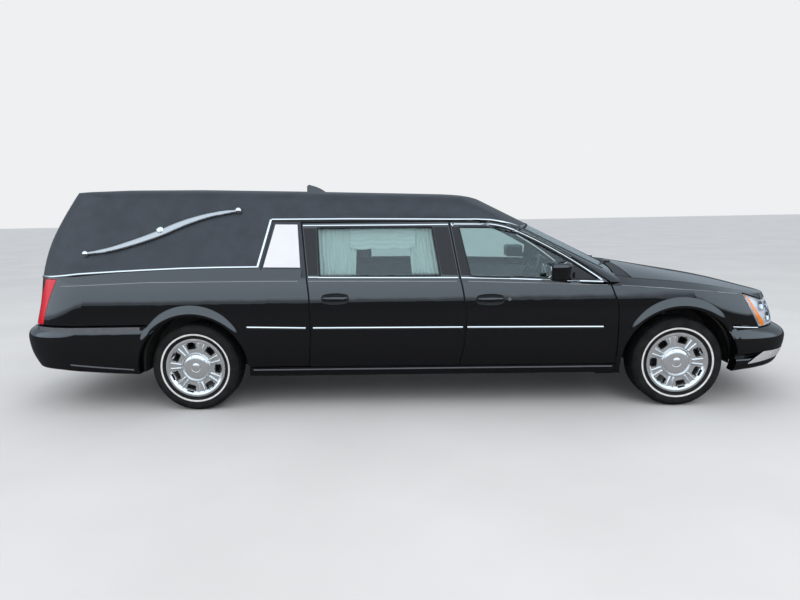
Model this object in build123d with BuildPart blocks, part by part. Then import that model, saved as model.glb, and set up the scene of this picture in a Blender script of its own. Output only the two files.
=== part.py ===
"""Hearse, closed landau body: separate panels, cabin, load deck, running gear and wheels.

Millimetres. +X points forward, +Y to the left of the car, +Z up. The origin lies on the
ground under the middle of the overall length. All five doors, the hood and the steering
stand in their closed and straight positions.
"""
import os
from math import cos, radians, sin

from build123d import *

os.makedirs("parts", exist_ok=True)

# Driving sizes
REAR_AXLE_X = -1600
FRONT_AXLE_X = 2115
TRACK_HALF = 790
AXLE_Z = 342
WHEEL_TURN = 22.1
FRONT_ARCH_RADIUS = 438
REAR_ARCH_RADIUS = 428
ARCH_Z = 332
WALL = 60
FRAME = 45
PANEL = 30
GAP = 12

# Side walls of the lower body: height, half width, front tip x, rear tip x
LOWER = [
    (190, 862, 3000, -2950),
    (330, 908, 3018, -2975),
    (480, 936, 3026, -2985),
    (650, 948, 3022, -2984),
    (740, 949, 2990, -2962),
    (820, 946, 2950, -2940),
    (960, 934, 2875, -2915),
    (1080, 916, 2810, -2903),
    (1180, 897, 2760, -2890),
]
# Plan corners: centre arc degrees, corner arc degrees, corner radius, blend radius
NOSE = (11, 53, 430, 1000)
TAIL = (8, 55, 260, 700)
REAR_BAR_CORNER = (18, 45, 400, 700)

# Top of the lower body: station x, crease height, shoulder half width, its height, centre height
TOP = [
    (-3300, 968, 858, 1020, 1026),
    (-2700, 998, 866, 1072, 1080),
    (-2200, 1014, 866, 1109, 1116),
    (-1600, 1021, 866, 1124, 1130),
    (-1060, 1018, 868, 1120, 1126),
    (0, 1004, 868, 1106, 1112),
    (900, 980, 868, 1082, 1100),
    (1400, 961, 845, 1045, 1095),
    (1760, 941, 800, 990, 1070),
    (2115, 913, 795, 955, 1008),
    (2450, 876, 785, 905, 947),
    (2850, 822, 770, 838, 858),
    (3200, 770, 760, 778, 785),
]
CREASE_HALF = 931

# Greenhouse walls: height, half width, front tip x, rear tip x
UPPER = [
    (960, 940, 1937, -2912),
    (1037, 905, 1787, -2906),
    (1120, 868, 1625, -2902),
    (1280, 798, 1312, -2880),
    (1430, 735, 1019, -2830),
    (1600, 668, 687, -2748),
    (1780, 602, 335, -2638),
]
UPPER_NOSE = (28, 48, 190, 500)
UPPER_TAIL = (8, 55, 240, 600)

# Roof crown: station x, centre height
ROOF = [
    (-3000, 1712), (-2760, 1724), (-2600, 1736), (-2300, 1741), (-1700, 1733), (-900, 1706),
    (0, 1672), (350, 1658), (440, 1652), (520, 1644), (590, 1631), (640, 1616), (690, 1597),
    (740, 1580), (2000, 1300),
]

# Closed outlines in side view (x, z): a point is a straight run, a pair is an arc via and to
FRONT_DOOR = [
    (397, 1432), (690, 1426), ((850, 1394), (965, 1345)), ((1290, 1165), (1572, 968)),
    (1612, 866), ((1631, 785), (1636, 700)), (1636, 352), (455, 352),
    ((509, 700), (465, 1037)),
]
FRONT_WINDOW = [
    (470, 1391), (700, 1386), ((860, 1360), (950, 1318)), ((1240, 1160), (1492, 998)),
    (546, 1036),
]
REAR_DOOR = [
    (-745, 1440), (385, 1432), (453, 1037), ((497, 700), (443, 352)), (-698, 352),
    ((-668, 740), (-690, 1037)),
]
REAR_WINDOW = [(-624, 1402), (255, 1394), (312, 1042), (-596, 1050)]
HEADLAMP = [(2590, 858), (2762, 800), (3060, 797), (3060, 615), (2742, 604)]
TAIL_LAMP = [(-2640, 1050), (-2720, 895), (-2757, 798), (-2786, 700), (-2896, 700),
             (-2856, 822), (-2818, 922), (-2752, 1050)]
FENDER = [(1500, 1100), (2950, 950), (2950, 809), (2765, 811), (2586, 870), (2579, 858),
          (2730, 607), (2405, 648), (2300, 520), (2300, 262), (1500, 262)]
QUARTER = [(-650, 1200), (-3100, 1200), (-3100, 698), (-1700, 698), (-1700, 352), (-650, 352)]
ROCKER = [(-1180, 268), (1640, 272), (1640, 342), (-1180, 342)]
FRONT_BUMPER = [(2412, 636), (2733, 600), (3300, 600), (3300, 264), (2629, 264), (2412, 250)]
REAR_BUMPER = [(-1800, 686), (-3300, 686), (-3300, 345), (-2650, 345), (-2232, 314), (-1800, 296)]
WEDGE = [(-953, 1438), (-782, 1434), (-749, 1113), (-1033, 1119)]
LANDAU = [(-2455, 1243), ((-2440, 1227), (-2415, 1232)), ((-2250, 1262), (-2100, 1268)),
          ((-1930, 1318), (-1800, 1392)), ((-1530, 1498), (-1262, 1539)),
          ((-1240, 1556), (-1262, 1568)), ((-1560, 1524), (-1870, 1424)),
          ((-1960, 1358), (-2120, 1308)), ((-2280, 1272), (-2440, 1257))]
LANDAU_STUDS = [(-2380, 1250), (-1838, 1404), (-1300, 1549)]
DRAPES = [(-640, 1412), (270, 1404), (326, 1040), (-612, 1044)]
DRAPE_OPENING = [(-330, 1030), (-330, 1232), ((-262, 1256), (-190, 1262)), (-30, 1264),
                 ((45, 1258), (98, 1236)), (98, 1030)]

# Closed outlines in front view (y, z)
HATCH = [(-575, 702), (575, 702), (572, 1060), (505, 1580), (-505, 1580)]
HATCH_HOLE = [(-587, 690), (604, 690), (601, 1062), (529, 1594), (-529, 1594)]
HATCH_WINDOW = [(-450, 1150), (450, 1150), (405, 1500), (-405, 1500)]
WINDSHIELD = [(-765, 940), (765, 940), (640, 1368), ((0, 1392), (-640, 1368))]
ROOF_FRONT_Z = 1396

# Closed outline in plan (x, y)
HOOD = [(1782, -795), (2450, -785), (2850, -770), (3100, -762), (3100, 762), (2850, 770),
        (2450, 785), (1782, 795)]

# Bumper bars: height, half width, tip x
FRONT_BAR = [(402, 928, 3080), (419, 946, 3121), (477, 951, 3135), (525, 951, 3131),
             (552, 949, 3110), (602, 944, 3014)]
FRONT_LIP = [(262, 872, 3004), (285, 902, 3078), (322, 918, 3102), (350, 921, 3103),
             (364, 912, 3066)]
REAR_BAR = [(300, 925, -3020), (366, 940, -3092), (425, 948, -3118), (490, 953, -3136),
            (560, 955, -3145), (615, 953, -3138), (655, 948, -3090), (686, 944, -3030)]
BELT = [(-3300, 1015), (-2700, 1068), (-2450, 1090), (-1600, 1117), (-1060, 1112), (-740, 1100),
        (-739, 1040), (460, 1024), (900, 1008), (1640, 970), (2600, 900)]


def end_points(half, tip, sign, centre_deg, corner_deg, corner_radius, blend_radius):
    """Half plan of one end: the centre arc, the corner arc and the blend into the side."""
    a0, a1 = radians(centre_deg), radians(centre_deg + corner_deg)
    centre_radius = (half - corner_radius * (sin(a1) - sin(a0))
                     - blend_radius * (1 - sin(a1))) / sin(a0)
    d1, y1 = centre_radius * (1 - cos(a0)), centre_radius * sin(a0)
    am = (a0 + a1) / 2
    m1 = (d1 + corner_radius * (cos(a0) - cos(am)), y1 + corner_radius * (sin(am) - sin(a0)))
    d2 = d1 + corner_radius * (cos(a0) - cos(a1))
    y2 = y1 + corner_radius * (sin(a1) - sin(a0))
    an = (a1 + radians(90)) / 2
    m2 = (d2 + blend_radius * (cos(a1) - cos(an)), y2 + blend_radius * (sin(an) - sin(a1)))
    p3 = (d2 + blend_radius * cos(a1), half)
    return [(tip - sign * d, y) for d, y in [(0, 0), (d1, y1), m1, (d2, y2), m2, p3]]


def plan_outline(half, front, rear):
    """Whole plan outline at one height."""
    f = end_points(half, *front)
    r = end_points(half, *rear)
    fm = [(x, -y) for x, y in f]
    rm = [(x, -y) for x, y in r]
    Line(r[5], f[5])
    ThreePointArc(f[5], f[4], f[3])
    ThreePointArc(f[3], f[2], f[1])
    ThreePointArc(f[1], f[0], fm[1])
    ThreePointArc(fm[1], fm[2], fm[3])
    ThreePointArc(fm[3], fm[4], fm[5])
    Line(fm[5], rm[5])
    ThreePointArc(rm[5], rm[4], rm[3])
    ThreePointArc(rm[3], rm[2], rm[1])
    ThreePointArc(rm[1], r[0], r[1])
    ThreePointArc(r[1], r[2], r[3])
    ThreePointArc(r[3], r[4], r[5])


def stack(rows, nose, tail, inset=0):
    """Solid through plan outlines at several heights, drawn in by an inset."""
    with BuildPart() as solid:
        for z, half, front, rear in rows:
            with BuildSketch(Plane.XY.offset(z)):
                with BuildLine():
                    plan_outline(half - inset, (front - inset, 1, *nose),
                                 (rear + inset, -1, *tail))
                make_face()
        loft(ruled=inset > 20)
    return solid.part


def cap(drop=0):
    """Solid under the hood, shoulders and deck line, lowered by a drop."""
    with BuildPart() as solid:
        for x, crease_z, side_y, side_z, top_z in TOP:
            slope = (side_z - crease_z) / (CREASE_HALF - side_y)
            edge = (CREASE_HALF + 70, crease_z - 70 * slope - drop)
            side = (side_y, side_z - drop)
            with BuildSketch(Plane.YZ.offset(x)):
                with BuildLine():
                    Line((-edge[0], edge[1]), (-side[0], side[1]))
                    ThreePointArc((-side[0], side[1]), (0, top_z - drop), side)
                    Line(side, edge)
                    Line(edge, (edge[0], 0))
                    Line((edge[0], 0), (-edge[0], 0))
                    Line((-edge[0], 0), (-edge[0], edge[1]))
                make_face()
        loft()
    return solid.part


def crown(drop=0):
    """Solid under the roof skin, lowered by a drop."""
    with BuildPart() as solid:
        for x, z in ROOF:
            top = z - drop
            with BuildSketch(Plane.YZ.offset(x)):
                with BuildLine():
                    ThreePointArc((-520, top - 22), (0, top), (520, top - 22))
                    ThreePointArc((520, top - 22), (643, top - 76), (705, top - 190))
                    Line((705, top - 190), (1000, top - 260))
                    Line((1000, top - 260), (1000, 800))
                    Line((1000, 800), (-1000, 800))
                    Line((-1000, 800), (-1000, top - 260))
                    Line((-1000, top - 260), (-705, top - 190))
                    ThreePointArc((-705, top - 190), (-643, top - 76), (-520, top - 22))
                make_face()
        loft(ruled=True)
    return solid.part


def trace(points):
    """Closed run of lines and arcs."""
    at = points[0]
    for item in points[1:]:
        if isinstance(item[0], tuple):
            ThreePointArc(at, item[0], item[1])
            at = item[1]
        else:
            Line(at, item)
            at = item
    Line(at, points[0])


def side_prism(points, near=-1100, far=1100, widen=0):
    """Solid over a side view outline between two y values, its edge moved out by widen."""
    with BuildPart() as solid:
        with BuildSketch(Plane.XZ.offset(-far)):
            with BuildLine():
                trace(points)
            make_face()
            if widen:
                offset(amount=widen, kind=Kind.INTERSECTION)
        extrude(amount=far - near)
    return solid.part


def front_prism(points, back, front, widen=0):
    """Solid over a front view outline (y, z) between two x values."""
    with BuildPart() as solid:
        with BuildSketch(Plane.YZ.offset(back)):
            with BuildLine():
                trace(points)
            make_face()
            if widen:
                offset(amount=widen, kind=Kind.INTERSECTION)
        extrude(amount=front - back)
    return solid.part


def plan_prism(points, low, high, widen=0):
    """Solid over a plan outline (x, y) between two heights."""
    with BuildPart() as solid:
        with BuildSketch(Plane.XY.offset(low)):
            with BuildLine():
                trace(points)
            make_face()
            if widen:
                offset(amount=widen, kind=Kind.INTERSECTION)
        extrude(amount=high - low)
    return solid.part


def save(piece, name):
    """Label a finished piece and write its file."""
    piece.label = name
    export_step(piece, f"parts/{name}.step")


def block(x0, x1, y0, y1, z0, z1):
    """Box between two corners."""
    with BuildPart() as solid:
        with Locations(((x0 + x1) / 2, (y0 + y1) / 2, (z0 + z1) / 2)):
            Box(x1 - x0, y1 - y0, z1 - z0)
    return solid.part


def rod(x, z, radius, y0, y1):
    """Cylinder along Y between two y values."""
    with BuildPart() as solid:
        with BuildSketch(Plane.XZ.offset(-y1)):
            with Locations((x, z)):
                Circle(radius)
        extrude(amount=y1 - y0)
    return solid.part


def box_rows(x0, x1, y0, y1, z0, z1):
    """Box between two corners, added to the piece being built."""
    with Locations(((x0 + x1) / 2, (y0 + y1) / 2, (z0 + z1) / 2)):
        Box(x1 - x0, y1 - y0, z1 - z0)


# Master solids
lower_solid = stack(LOWER, NOSE, TAIL) & cap()
lower_core = stack([(120, 840, 2990, -2940)] + LOWER[1:] + [(1300, 876, 2700, -2865)],
                   NOSE, TAIL, WALL)
lower_wall = lower_solid - lower_core
skin_core = stack([(120, 840, 2990, -2940)] + LOWER[1:], NOSE, TAIL, PANEL) & cap(PANEL)
lower_skin = lower_solid - skin_core
upper_solid = stack(UPPER, UPPER_NOSE, UPPER_TAIL) & crown()
upper_core = stack(UPPER, UPPER_NOSE, UPPER_TAIL, FRAME) & crown(FRAME)
upper_wall = upper_solid - upper_core
upper_glass = ((stack(UPPER, UPPER_NOSE, UPPER_TAIL, 8) & crown(8))
               - (stack(UPPER, UPPER_NOSE, UPPER_TAIL, 14) & crown(14)))

above_belt = side_prism(BELT + [(2600, 1900), (-3300, 1900)])
arches = (rod(FRONT_AXLE_X, ARCH_Z, FRONT_ARCH_RADIUS, -1100, 1100)
          + rod(REAR_AXLE_X, ARCH_Z, REAR_ARCH_RADIUS, -1100, 1100))
below = lower_wall - above_belt
above = upper_wall & above_belt

door_holes = side_prism(FRONT_DOOR, widen=GAP) + side_prism(REAR_DOOR, widen=GAP)
hatch_hole = front_prism(HATCH_HOLE, -3200, -2300)
right = (-1100, -500)
left = (500, 1100)

# Side doors, their glass and mirrors
with BuildPart() as front_door_right:
    add(below & side_prism(FRONT_DOOR, *right))
    add(above & side_prism(FRONT_DOOR, *right))
    add(side_prism(FRONT_WINDOW, *right), mode=Mode.SUBTRACT)
with BuildPart() as mirror_right:
    with BuildSketch(Plane.XY.offset(1012)):
        with BuildLine():
            trace([(1092, -980), (1092, -1172), (1150, -1172), ((1232, -1130), (1262, -1040)),
                   (1262, -980)])
        make_face()
    extrude(amount=125)
    fillet(mirror_right.edges(), 26)
    box_rows(1180, 1300, -990, -880, 1016, 1056)
    add(lower_solid + upper_solid, mode=Mode.SUBTRACT)
with BuildPart() as rear_door_right:
    add(below & side_prism(REAR_DOOR, *right))
    add(above & side_prism(REAR_DOOR, *right))
    add(side_prism(REAR_WINDOW, *right), mode=Mode.SUBTRACT)
with BuildPart() as front_glass_right:
    add(upper_glass & side_prism(FRONT_WINDOW, *right, widen=-1.5))
with BuildPart() as rear_glass_right:
    add(upper_glass & side_prism(REAR_WINDOW, *right, widen=-1.5))
for piece, name in [(front_door_right, "front_door"), (rear_door_right, "rear_door"),
                    (front_glass_right, "front_door_glass"),
                    (rear_glass_right, "rear_door_glass"), (mirror_right, "mirror")]:
    save(piece.part, name + "_right")
    save(mirror(piece.part, about=Plane.XZ), name + "_left")

# Roof with the upper rear quarters
with BuildPart() as roof_shell:
    add(above)
    add(block(960, 2200, -1100, 1100, 800, ROOF_FRONT_Z), mode=Mode.SUBTRACT)
    add(door_holes, mode=Mode.SUBTRACT)
    add(hatch_hole, mode=Mode.SUBTRACT)
save(roof_shell.part, "roof_shell")

# Windshield frame with both front pillars
with BuildPart() as windshield_frame:
    add(above)
    add(block(-3200, 2200, -1100, 1100, ROOF_FRONT_Z - 2, 1800), mode=Mode.SUBTRACT)
    add(block(-3200, 961, -1100, 1100, 800, 1800), mode=Mode.SUBTRACT)
    add(door_holes, mode=Mode.SUBTRACT)
    add(lower_solid, mode=Mode.SUBTRACT)
    add(front_prism(WINDSHIELD, 300, 2200), mode=Mode.SUBTRACT)
save(windshield_frame.part, "windshield_frame")
with BuildPart() as windshield:
    add(upper_glass & front_prism(WINDSHIELD, 500, 2200, widen=-1.5))
    add(lower_solid, mode=Mode.SUBTRACT)
save(windshield.part, "windshield")

# Hood, fenders and cowl
hood_area = plan_prism(HOOD, 700, 1200)
with BuildPart() as hood:
    add(lower_skin & hood_area)
    add(block(1700, 2560, -1000, 1000, 0, 770), mode=Mode.SUBTRACT)
    add(block(2560, 3200, -1000, 1000, 0, 808), mode=Mode.SUBTRACT)
save(hood.part, "hood")
with BuildPart() as fenders:
    add(lower_skin & side_prism(FENDER))
    add(plan_prism(HOOD, 0, 1200, widen=8), mode=Mode.SUBTRACT)
    add(block(1400, 1790, -800, 800, 0, 1200), mode=Mode.SUBTRACT)
    add(door_holes, mode=Mode.SUBTRACT)
    add(above_belt & block(1400, 1640, -1100, 1100, 900, 1200), mode=Mode.SUBTRACT)
    add(side_prism(ROCKER, widen=2), mode=Mode.SUBTRACT)
    add(arches, mode=Mode.SUBTRACT)
save(fenders.part, "fenders")
with BuildPart() as cowl:
    add(lower_skin & block(1640, 1774, -780, 780, 930, 1200))
    add(upper_solid, mode=Mode.SUBTRACT)
save(cowl.part, "cowl")

# Rear lower quarters, rockers
with BuildPart() as quarters:
    add(below & side_prism(QUARTER))
    add(door_holes, mode=Mode.SUBTRACT)
    add(hatch_hole, mode=Mode.SUBTRACT)
    add(arches, mode=Mode.SUBTRACT)
    add(side_prism(TAIL_LAMP, -1100, -695, widen=4), mode=Mode.SUBTRACT)
    add(side_prism(TAIL_LAMP, 695, 1100, widen=4), mode=Mode.SUBTRACT)
save(quarters.part, "quarters")
with BuildPart() as rockers:
    add(lower_wall & side_prism(ROCKER))
    add(arches, mode=Mode.SUBTRACT)
save(rockers.part, "rockers")

# Pale wedge panels behind the rear doors, landau bars
with BuildPart() as wedge_panels:
    add((stack(UPPER, UPPER_NOSE, UPPER_TAIL, -5) - stack(UPPER, UPPER_NOSE, UPPER_TAIL, -1))
        & side_prism(WEDGE))
save(wedge_panels.part, "wedge_panels")
with BuildPart() as landau_bars:
    add((stack(UPPER, UPPER_NOSE, UPPER_TAIL, -24) - stack(UPPER, UPPER_NOSE, UPPER_TAIL, -8))
        & side_prism(LANDAU))
    for x, z in LANDAU_STUDS:
        add((rod(x, z, 13, -1000, 1000) & stack(UPPER, UPPER_NOSE, UPPER_TAIL, -12))
            - stack(UPPER, UPPER_NOSE, UPPER_TAIL, -1))
save(landau_bars.part, "landau_bars")

# Drapes inside the rear door windows
with BuildPart() as drapes:
    add((stack(UPPER, UPPER_NOSE, UPPER_TAIL, 52) - stack(UPPER, UPPER_NOSE, UPPER_TAIL, 74))
        & side_prism(DRAPES))
    add(side_prism(DRAPE_OPENING), mode=Mode.SUBTRACT)
save(drapes.part, "drapes")

# Roof antenna
with BuildPart() as antenna:
    with BuildSketch(Plane.XZ.offset(-14)):
        with BuildLine():
            trace([(-824, 1660), (-824, 1740), ((-812, 1761), (-788, 1758)),
                   ((-706, 1728), (-652, 1690)), (-652, 1660)])
        make_face()
    extrude(amount=28)
    add(crown(), mode=Mode.SUBTRACT)
save(antenna.part, "antenna")

# Lamps and grille
with BuildPart() as tail_lamps:
    add(below & (side_prism(TAIL_LAMP, -1100, -700) + side_prism(TAIL_LAMP, 700, 1100)))
save(tail_lamps.part, "tail_lamps")
with BuildPart() as headlamps:
    add(lower_wall & (side_prism(HEADLAMP, -1100, -470) + side_prism(HEADLAMP, 470, 1100)))
    add(plan_prism(HOOD, 797, 1200, widen=8), mode=Mode.SUBTRACT)
save(headlamps.part, "headlamps")
with BuildPart() as grille:
    add(lower_wall & block(2800, 3100, -458, 458, 606, 798))
    add(block(2800, 3100, -425, 425, 635, 772), mode=Mode.SUBTRACT)
    add(lower_wall & (block(2800, 3100, -430, 430, 668, 674) + block(2800, 3100, -430, 430, 700, 706)
        + block(2800, 3100, -430, 430, 733, 739)))
save(grille.part, "grille")

# Bumpers
with BuildPart() as front_bumper:
    add(stack([(z, half, tip, -2985) for z, half, tip in FRONT_BAR], NOSE, TAIL))
    add(stack([(z, half, tip, -2985) for z, half, tip in FRONT_LIP], NOSE, TAIL))
    add(lower_solid)
    add(side_prism(FRONT_BUMPER), mode=Mode.INTERSECT)
    add(stack([(z, half, tip, -2985) for z, half, tip in FRONT_BAR], NOSE, TAIL, 40)
        & block(2600, 3300, -1100, 1100, 440, 560), mode=Mode.SUBTRACT)
    add(lower_core, mode=Mode.SUBTRACT)
    add(rod(FRONT_AXLE_X, ARCH_Z, FRONT_ARCH_RADIUS, -1100, 1100), mode=Mode.SUBTRACT)
    add(block(2800, 3300, -430, 430, 367, 399), mode=Mode.SUBTRACT)
save(front_bumper.part, "front_bumper")
with BuildPart() as rear_bumper:
    add(stack([(z, half, 3018, tip) for z, half, tip in REAR_BAR], NOSE, REAR_BAR_CORNER))
    add(lower_solid)
    add(side_prism(REAR_BUMPER), mode=Mode.INTERSECT)
    add(stack([(z, half, 3018, tip) for z, half, tip in REAR_BAR], NOSE, REAR_BAR_CORNER, 40)
        & block(-3300, -2300, -1100, 1100, 385, 640), mode=Mode.SUBTRACT)
    add(lower_core, mode=Mode.SUBTRACT)
    add(rod(REAR_AXLE_X, ARCH_Z, REAR_ARCH_RADIUS, -1100, 1100), mode=Mode.SUBTRACT)
save(rear_bumper.part, "rear_bumper")

# Loading door at the rear and its glass
with BuildPart() as loading_door:
    add(below & front_prism(HATCH, -3200, -2300))
    add(above & front_prism(HATCH, -3200, -2300))
    add(front_prism(HATCH_WINDOW, -3200, -2300), mode=Mode.SUBTRACT)
save(loading_door.part, "loading_door")
with BuildPart() as loading_glass:
    add(upper_glass & front_prism(HATCH_WINDOW, -3200, -2300, widen=-1.5))
save(loading_glass.part, "loading_glass")

# Floor, wheel houses, bulkhead, front and rear rails
with BuildPart() as floor_pan:
    box_rows(-1130, 1700, -838, 838, 300, 326)
    box_rows(-2780, -900, -630, 630, 560, 586)
    box_rows(-926, -900, -838, 838, 300, 586)
    box_rows(1690, 1716, -770, 770, 300, 960)
    box_rows(2800, 2830, -455, 455, 430, 540)
    box_rows(-2800, -2770, -560, 560, 440, 586)
    for side in (-1, 1):
        box_rows(-1130, 1700, side * 380 - 35, side * 380 + 35, 245, 300)
        box_rows(-2780, -926, side * 380 - 35, side * 380 + 35, 500, 560)
        box_rows(1700, 2830, side * 420 - 35, side * 420 + 35, 430, 540)
        box_rows(-2450, -1130, side * 735 - 110, side * 735 + 110, 560, 790)
        box_rows(-1130, -926, side * 732 - 106, side * 732 + 106, 300, 586)
    add(rod(REAR_AXLE_X, AXLE_Z, 420, -848, -640), mode=Mode.SUBTRACT)
    add(rod(REAR_AXLE_X, AXLE_Z, 420, 640, 848), mode=Mode.SUBTRACT)
save(floor_pan.part, "floor_pan")

# Posts between the side doors
with BuildPart() as center_posts:
    for side in (-1, 1):
        for rows in (((327, 400, 520, 795, 838), (1040, 405, 505, 808, 848)),
                     ((1040, 405, 505, 808, 848), (1436, 340, 430, 636, 672))):
            for z, x0, x1, y0, y1 in rows:
                with BuildSketch(Plane.XY.offset(z)):
                    with Locations(((x0 + x1) / 2, side * (y0 + y1) / 2)):
                        Rectangle(x1 - x0, y1 - y0)
            loft()
save(center_posts.part, "center_posts")

# Seats
with BuildPart() as seats:
    for side in (-1, 1):
        with BuildSketch(Plane.XZ.offset(side * 400 + 255)):
            with BuildLine():
                trace([(560, 520), (1090, 540), ((1120, 600), (1080, 660)), (640, 620),
                       (480, 1140), ((430, 1165), (395, 1130)), (520, 640)])
            make_face()
        extrude(amount=-510)
        box_rows(620, 1040, side * 400 - 200, side * 400 + 200, 327, 530)
        box_rows(432, 462, side * 400 - 60, side * 400 + 60, 1120, 1180)
        box_rows(400, 490, side * 400 - 130, side * 400 + 130, 1178, 1330)
save(seats.part, "seats")

# Dashboard and steering wheel
with BuildPart() as dashboard:
    with BuildSketch(Plane.XZ.offset(760)):
        with BuildLine():
            trace([(1684, 640), (1684, 930), ((1500, 975), (1390, 930)), ((1350, 860), (1400, 760)),
                   (1440, 640)])
        make_face()
    extrude(amount=-1520)
save(dashboard.part, "dashboard")
STEERING_PLANE = Plane(origin=(1215, 400, 905), x_dir=(0, 1, 0), z_dir=(-0.88, 0, 0.475))
with BuildPart() as steering_wheel:
    with Locations(STEERING_PLANE):
        Torus(185, 14)
        Cylinder(60, 40)
        for angle in (90, 210, 330):
            with Locations(Rotation(0, 0, angle) * Pos(115, 0, 0)):
                Box(130, 34, 12)
        with Locations(Pos(0, 0, -65)):
            Cylinder(28, 110)
save(steering_wheel.part, "steering_wheel")

# Load deck with rollers
with BuildPart() as load_deck:
    box_rows(-2840, 280, -560, 560, 592, 632)
    for x in (-2760, -2300, -1700, -1100, -500, 60):
        with BuildSketch(Plane.XZ.offset(300)):
            with Locations((x, 629)):
                Circle(26)
        extrude(amount=-600)
save(load_deck.part, "load_deck")

# Liners of the wheel arches
with BuildPart() as arch_liners:
    for side in (-1, 1):
        low, high = sorted((side * 625, side * 835))
        add(block(-2060, -1131, low, high, 300, 559)
            - rod(REAR_AXLE_X, AXLE_Z, 420, *sorted((side * 640, side * 836)))
            - block(REAR_AXLE_X - 110, REAR_AXLE_X + 110, low - 1, high + 1, 200, 600))
        low, high = sorted((side * 486, side * 768))
        add(rod(FRONT_AXLE_X, ARCH_Z, FRONT_ARCH_RADIUS + 14, low, high)
            - rod(FRONT_AXLE_X, ARCH_Z, FRONT_ARCH_RADIUS + 4, *sorted((side * 494, side * 769)))
            - block(1500, 2700, low - 1, high + 1, -200, 300)
            - block(1500, 1718, low - 1, high + 1, 200, 900)
            - block(2005, 2225, low - 1, high + 1, 200, 500)
            - block(2040, 2190, low - 1, high + 1, 700, 900))
save(arch_liners.part, "arch_liners")

# Running gear
with BuildPart() as engine:
    box_rows(1930, 2560, -330, 330, 340, 830)
    chamfer(engine.edges().filter_by(Axis.Y).group_by(Axis.Z)[-1], 60)
save(engine.part, "engine")
with BuildPart() as front_suspension:
    box_rows(1960, 2300, -360, 360, 190, 250)
    for side in (-1, 1):
        box_rows(2080, 2150, side * 505 - 150, side * 505 + 150, 195, 225)
        with Locations((FRONT_AXLE_X, side * 590, 690)):
            Cylinder(30, 300)
        box_rows(2040, 2190, side * 545 - 90, side * 545 + 90, 840, 870)
save(front_suspension.part, "front_suspension")
with BuildPart() as rear_suspension:
    add(rod(REAR_AXLE_X, AXLE_Z, 34, -655, 655))
    add(rod(REAR_AXLE_X, AXLE_Z, 20, -838, 838))
    for side in (-1, 1):
        box_rows(-1600, -1140, side * 560 - 30, side * 560 + 30, 310, 370)
        with Locations((REAR_AXLE_X, side * 500, 460)):
            Cylinder(55, 190)
save(rear_suspension.part, "rear_suspension")
with BuildPart() as exhaust:
    with BuildSketch(Plane.YZ.offset(-2900)):
        with Locations((300, 245)):
            Circle(28)
    extrude(amount=4700)
    box_rows(-2620, -2150, 180, 420, 190, 290)
save(exhaust.part, "exhaust")
with BuildPart() as fuel_tank:
    box_rows(-700, 100, -330, 180, 180, 294)
    fillet(fuel_tank.edges().filter_by(Axis.X), 30)
save(fuel_tank.part, "fuel_tank")

# Steering knuckles with stub axles
for side, name in ((-1, "right"), (1, "left")):
    with BuildPart() as knuckle:
        with BuildSketch(Plane.XZ.offset(-side * 655)):
            with Locations((FRONT_AXLE_X, AXLE_Z)):
                Circle(20)
        extrude(amount=-side * 180)
        box_rows(2075, 2155, side * 660 - 14, side * 660 + 14, 235, 480)
        with Locations((FRONT_AXLE_X, side * 650, AXLE_Z)):
            Box(110, 40, 110)
    save(knuckle.part, "knuckle_" + name)

# Tyre and wheel, drawn round the Y axis with the outer face at +Y
with BuildPart() as tyre_form:
    with BuildSketch(Plane.XY):
        with BuildLine():
            trace([(223, 98), (237, 100), ((290, 117.5), (324, 108)), ((337, 99), (342, 84)),
                   (342, -84), ((337, -99), (324, -108)), ((290, -117.5), (237, -100)),
                   (223, -98)])
        make_face()
    revolve(axis=Axis.Y)
with BuildPart() as wheel_form:
    with BuildSketch(Plane.XY):
        with BuildLine():
            trace([(200, 88), (221, 90), (222, 101), (232, 102), (232, 107), (218, 108), (206, 102),
                   (196, 92)])
        make_face()
    revolve(axis=Axis.Y)
    with BuildSketch(Plane.XY):
        with BuildLine():
            trace([(204, 96), (221, 96), (221, -101), (232, -101), (232, -108), (212, -108),
                   (200, -80), (196, 60)])
        make_face()
    revolve(axis=Axis.Y)
    with BuildSketch(Plane.XY):
        with BuildLine():
            trace([(0, 66), (0, 92), (95, 90), (105, 84), (110, 84), (198, 92), (206, 92), (206, 78),
                   (110, 66)])
        make_face()
    revolve(axis=Axis.Y)
    with BuildSketch(Plane.XZ.offset(-60)):
        with PolarLocations(0, 7):
            with Locations((179, 0)):
                Trapezoid(74, 52, 78, rotation=-90)
    extrude(amount=-60, mode=Mode.SUBTRACT)
    with BuildSketch(Plane.XZ.offset(-66)):
        Circle(70)
        Circle(27, mode=Mode.SUBTRACT)
    extrude(amount=110)
    with BuildSketch(Plane.XZ.offset(20)):
        Circle(150)
        Circle(27, mode=Mode.SUBTRACT)
    extrude(amount=22)
for x, axle in ((FRONT_AXLE_X, "front"), (REAR_AXLE_X, "rear")):
    for side, name in ((-1, "right"), (1, "left")):
        place = Location((x, side * TRACK_HALF, AXLE_Z), (0, 0, 0 if side > 0 else 180))
        save(place * tyre_form.part, f"tyre_{axle}_{name}")
        turn = Location((0, 0, 0), (0, WHEEL_TURN if axle == "rear" else 0, 0))
        save(place * turn * wheel_form.part, f"wheel_{axle}_{name}")
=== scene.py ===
"""Looks of the closed landau hearse: paint, vinyl, glass, trim, curtains, seats and wheels."""
from math import cos, pi, radians, sin

import bmesh
import bpy
from bpy.props import FloatProperty, FloatVectorProperty, IntProperty, PointerProperty
from mathutils import Matrix, Vector
from mathutils.bvhtree import BVHTree


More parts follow.
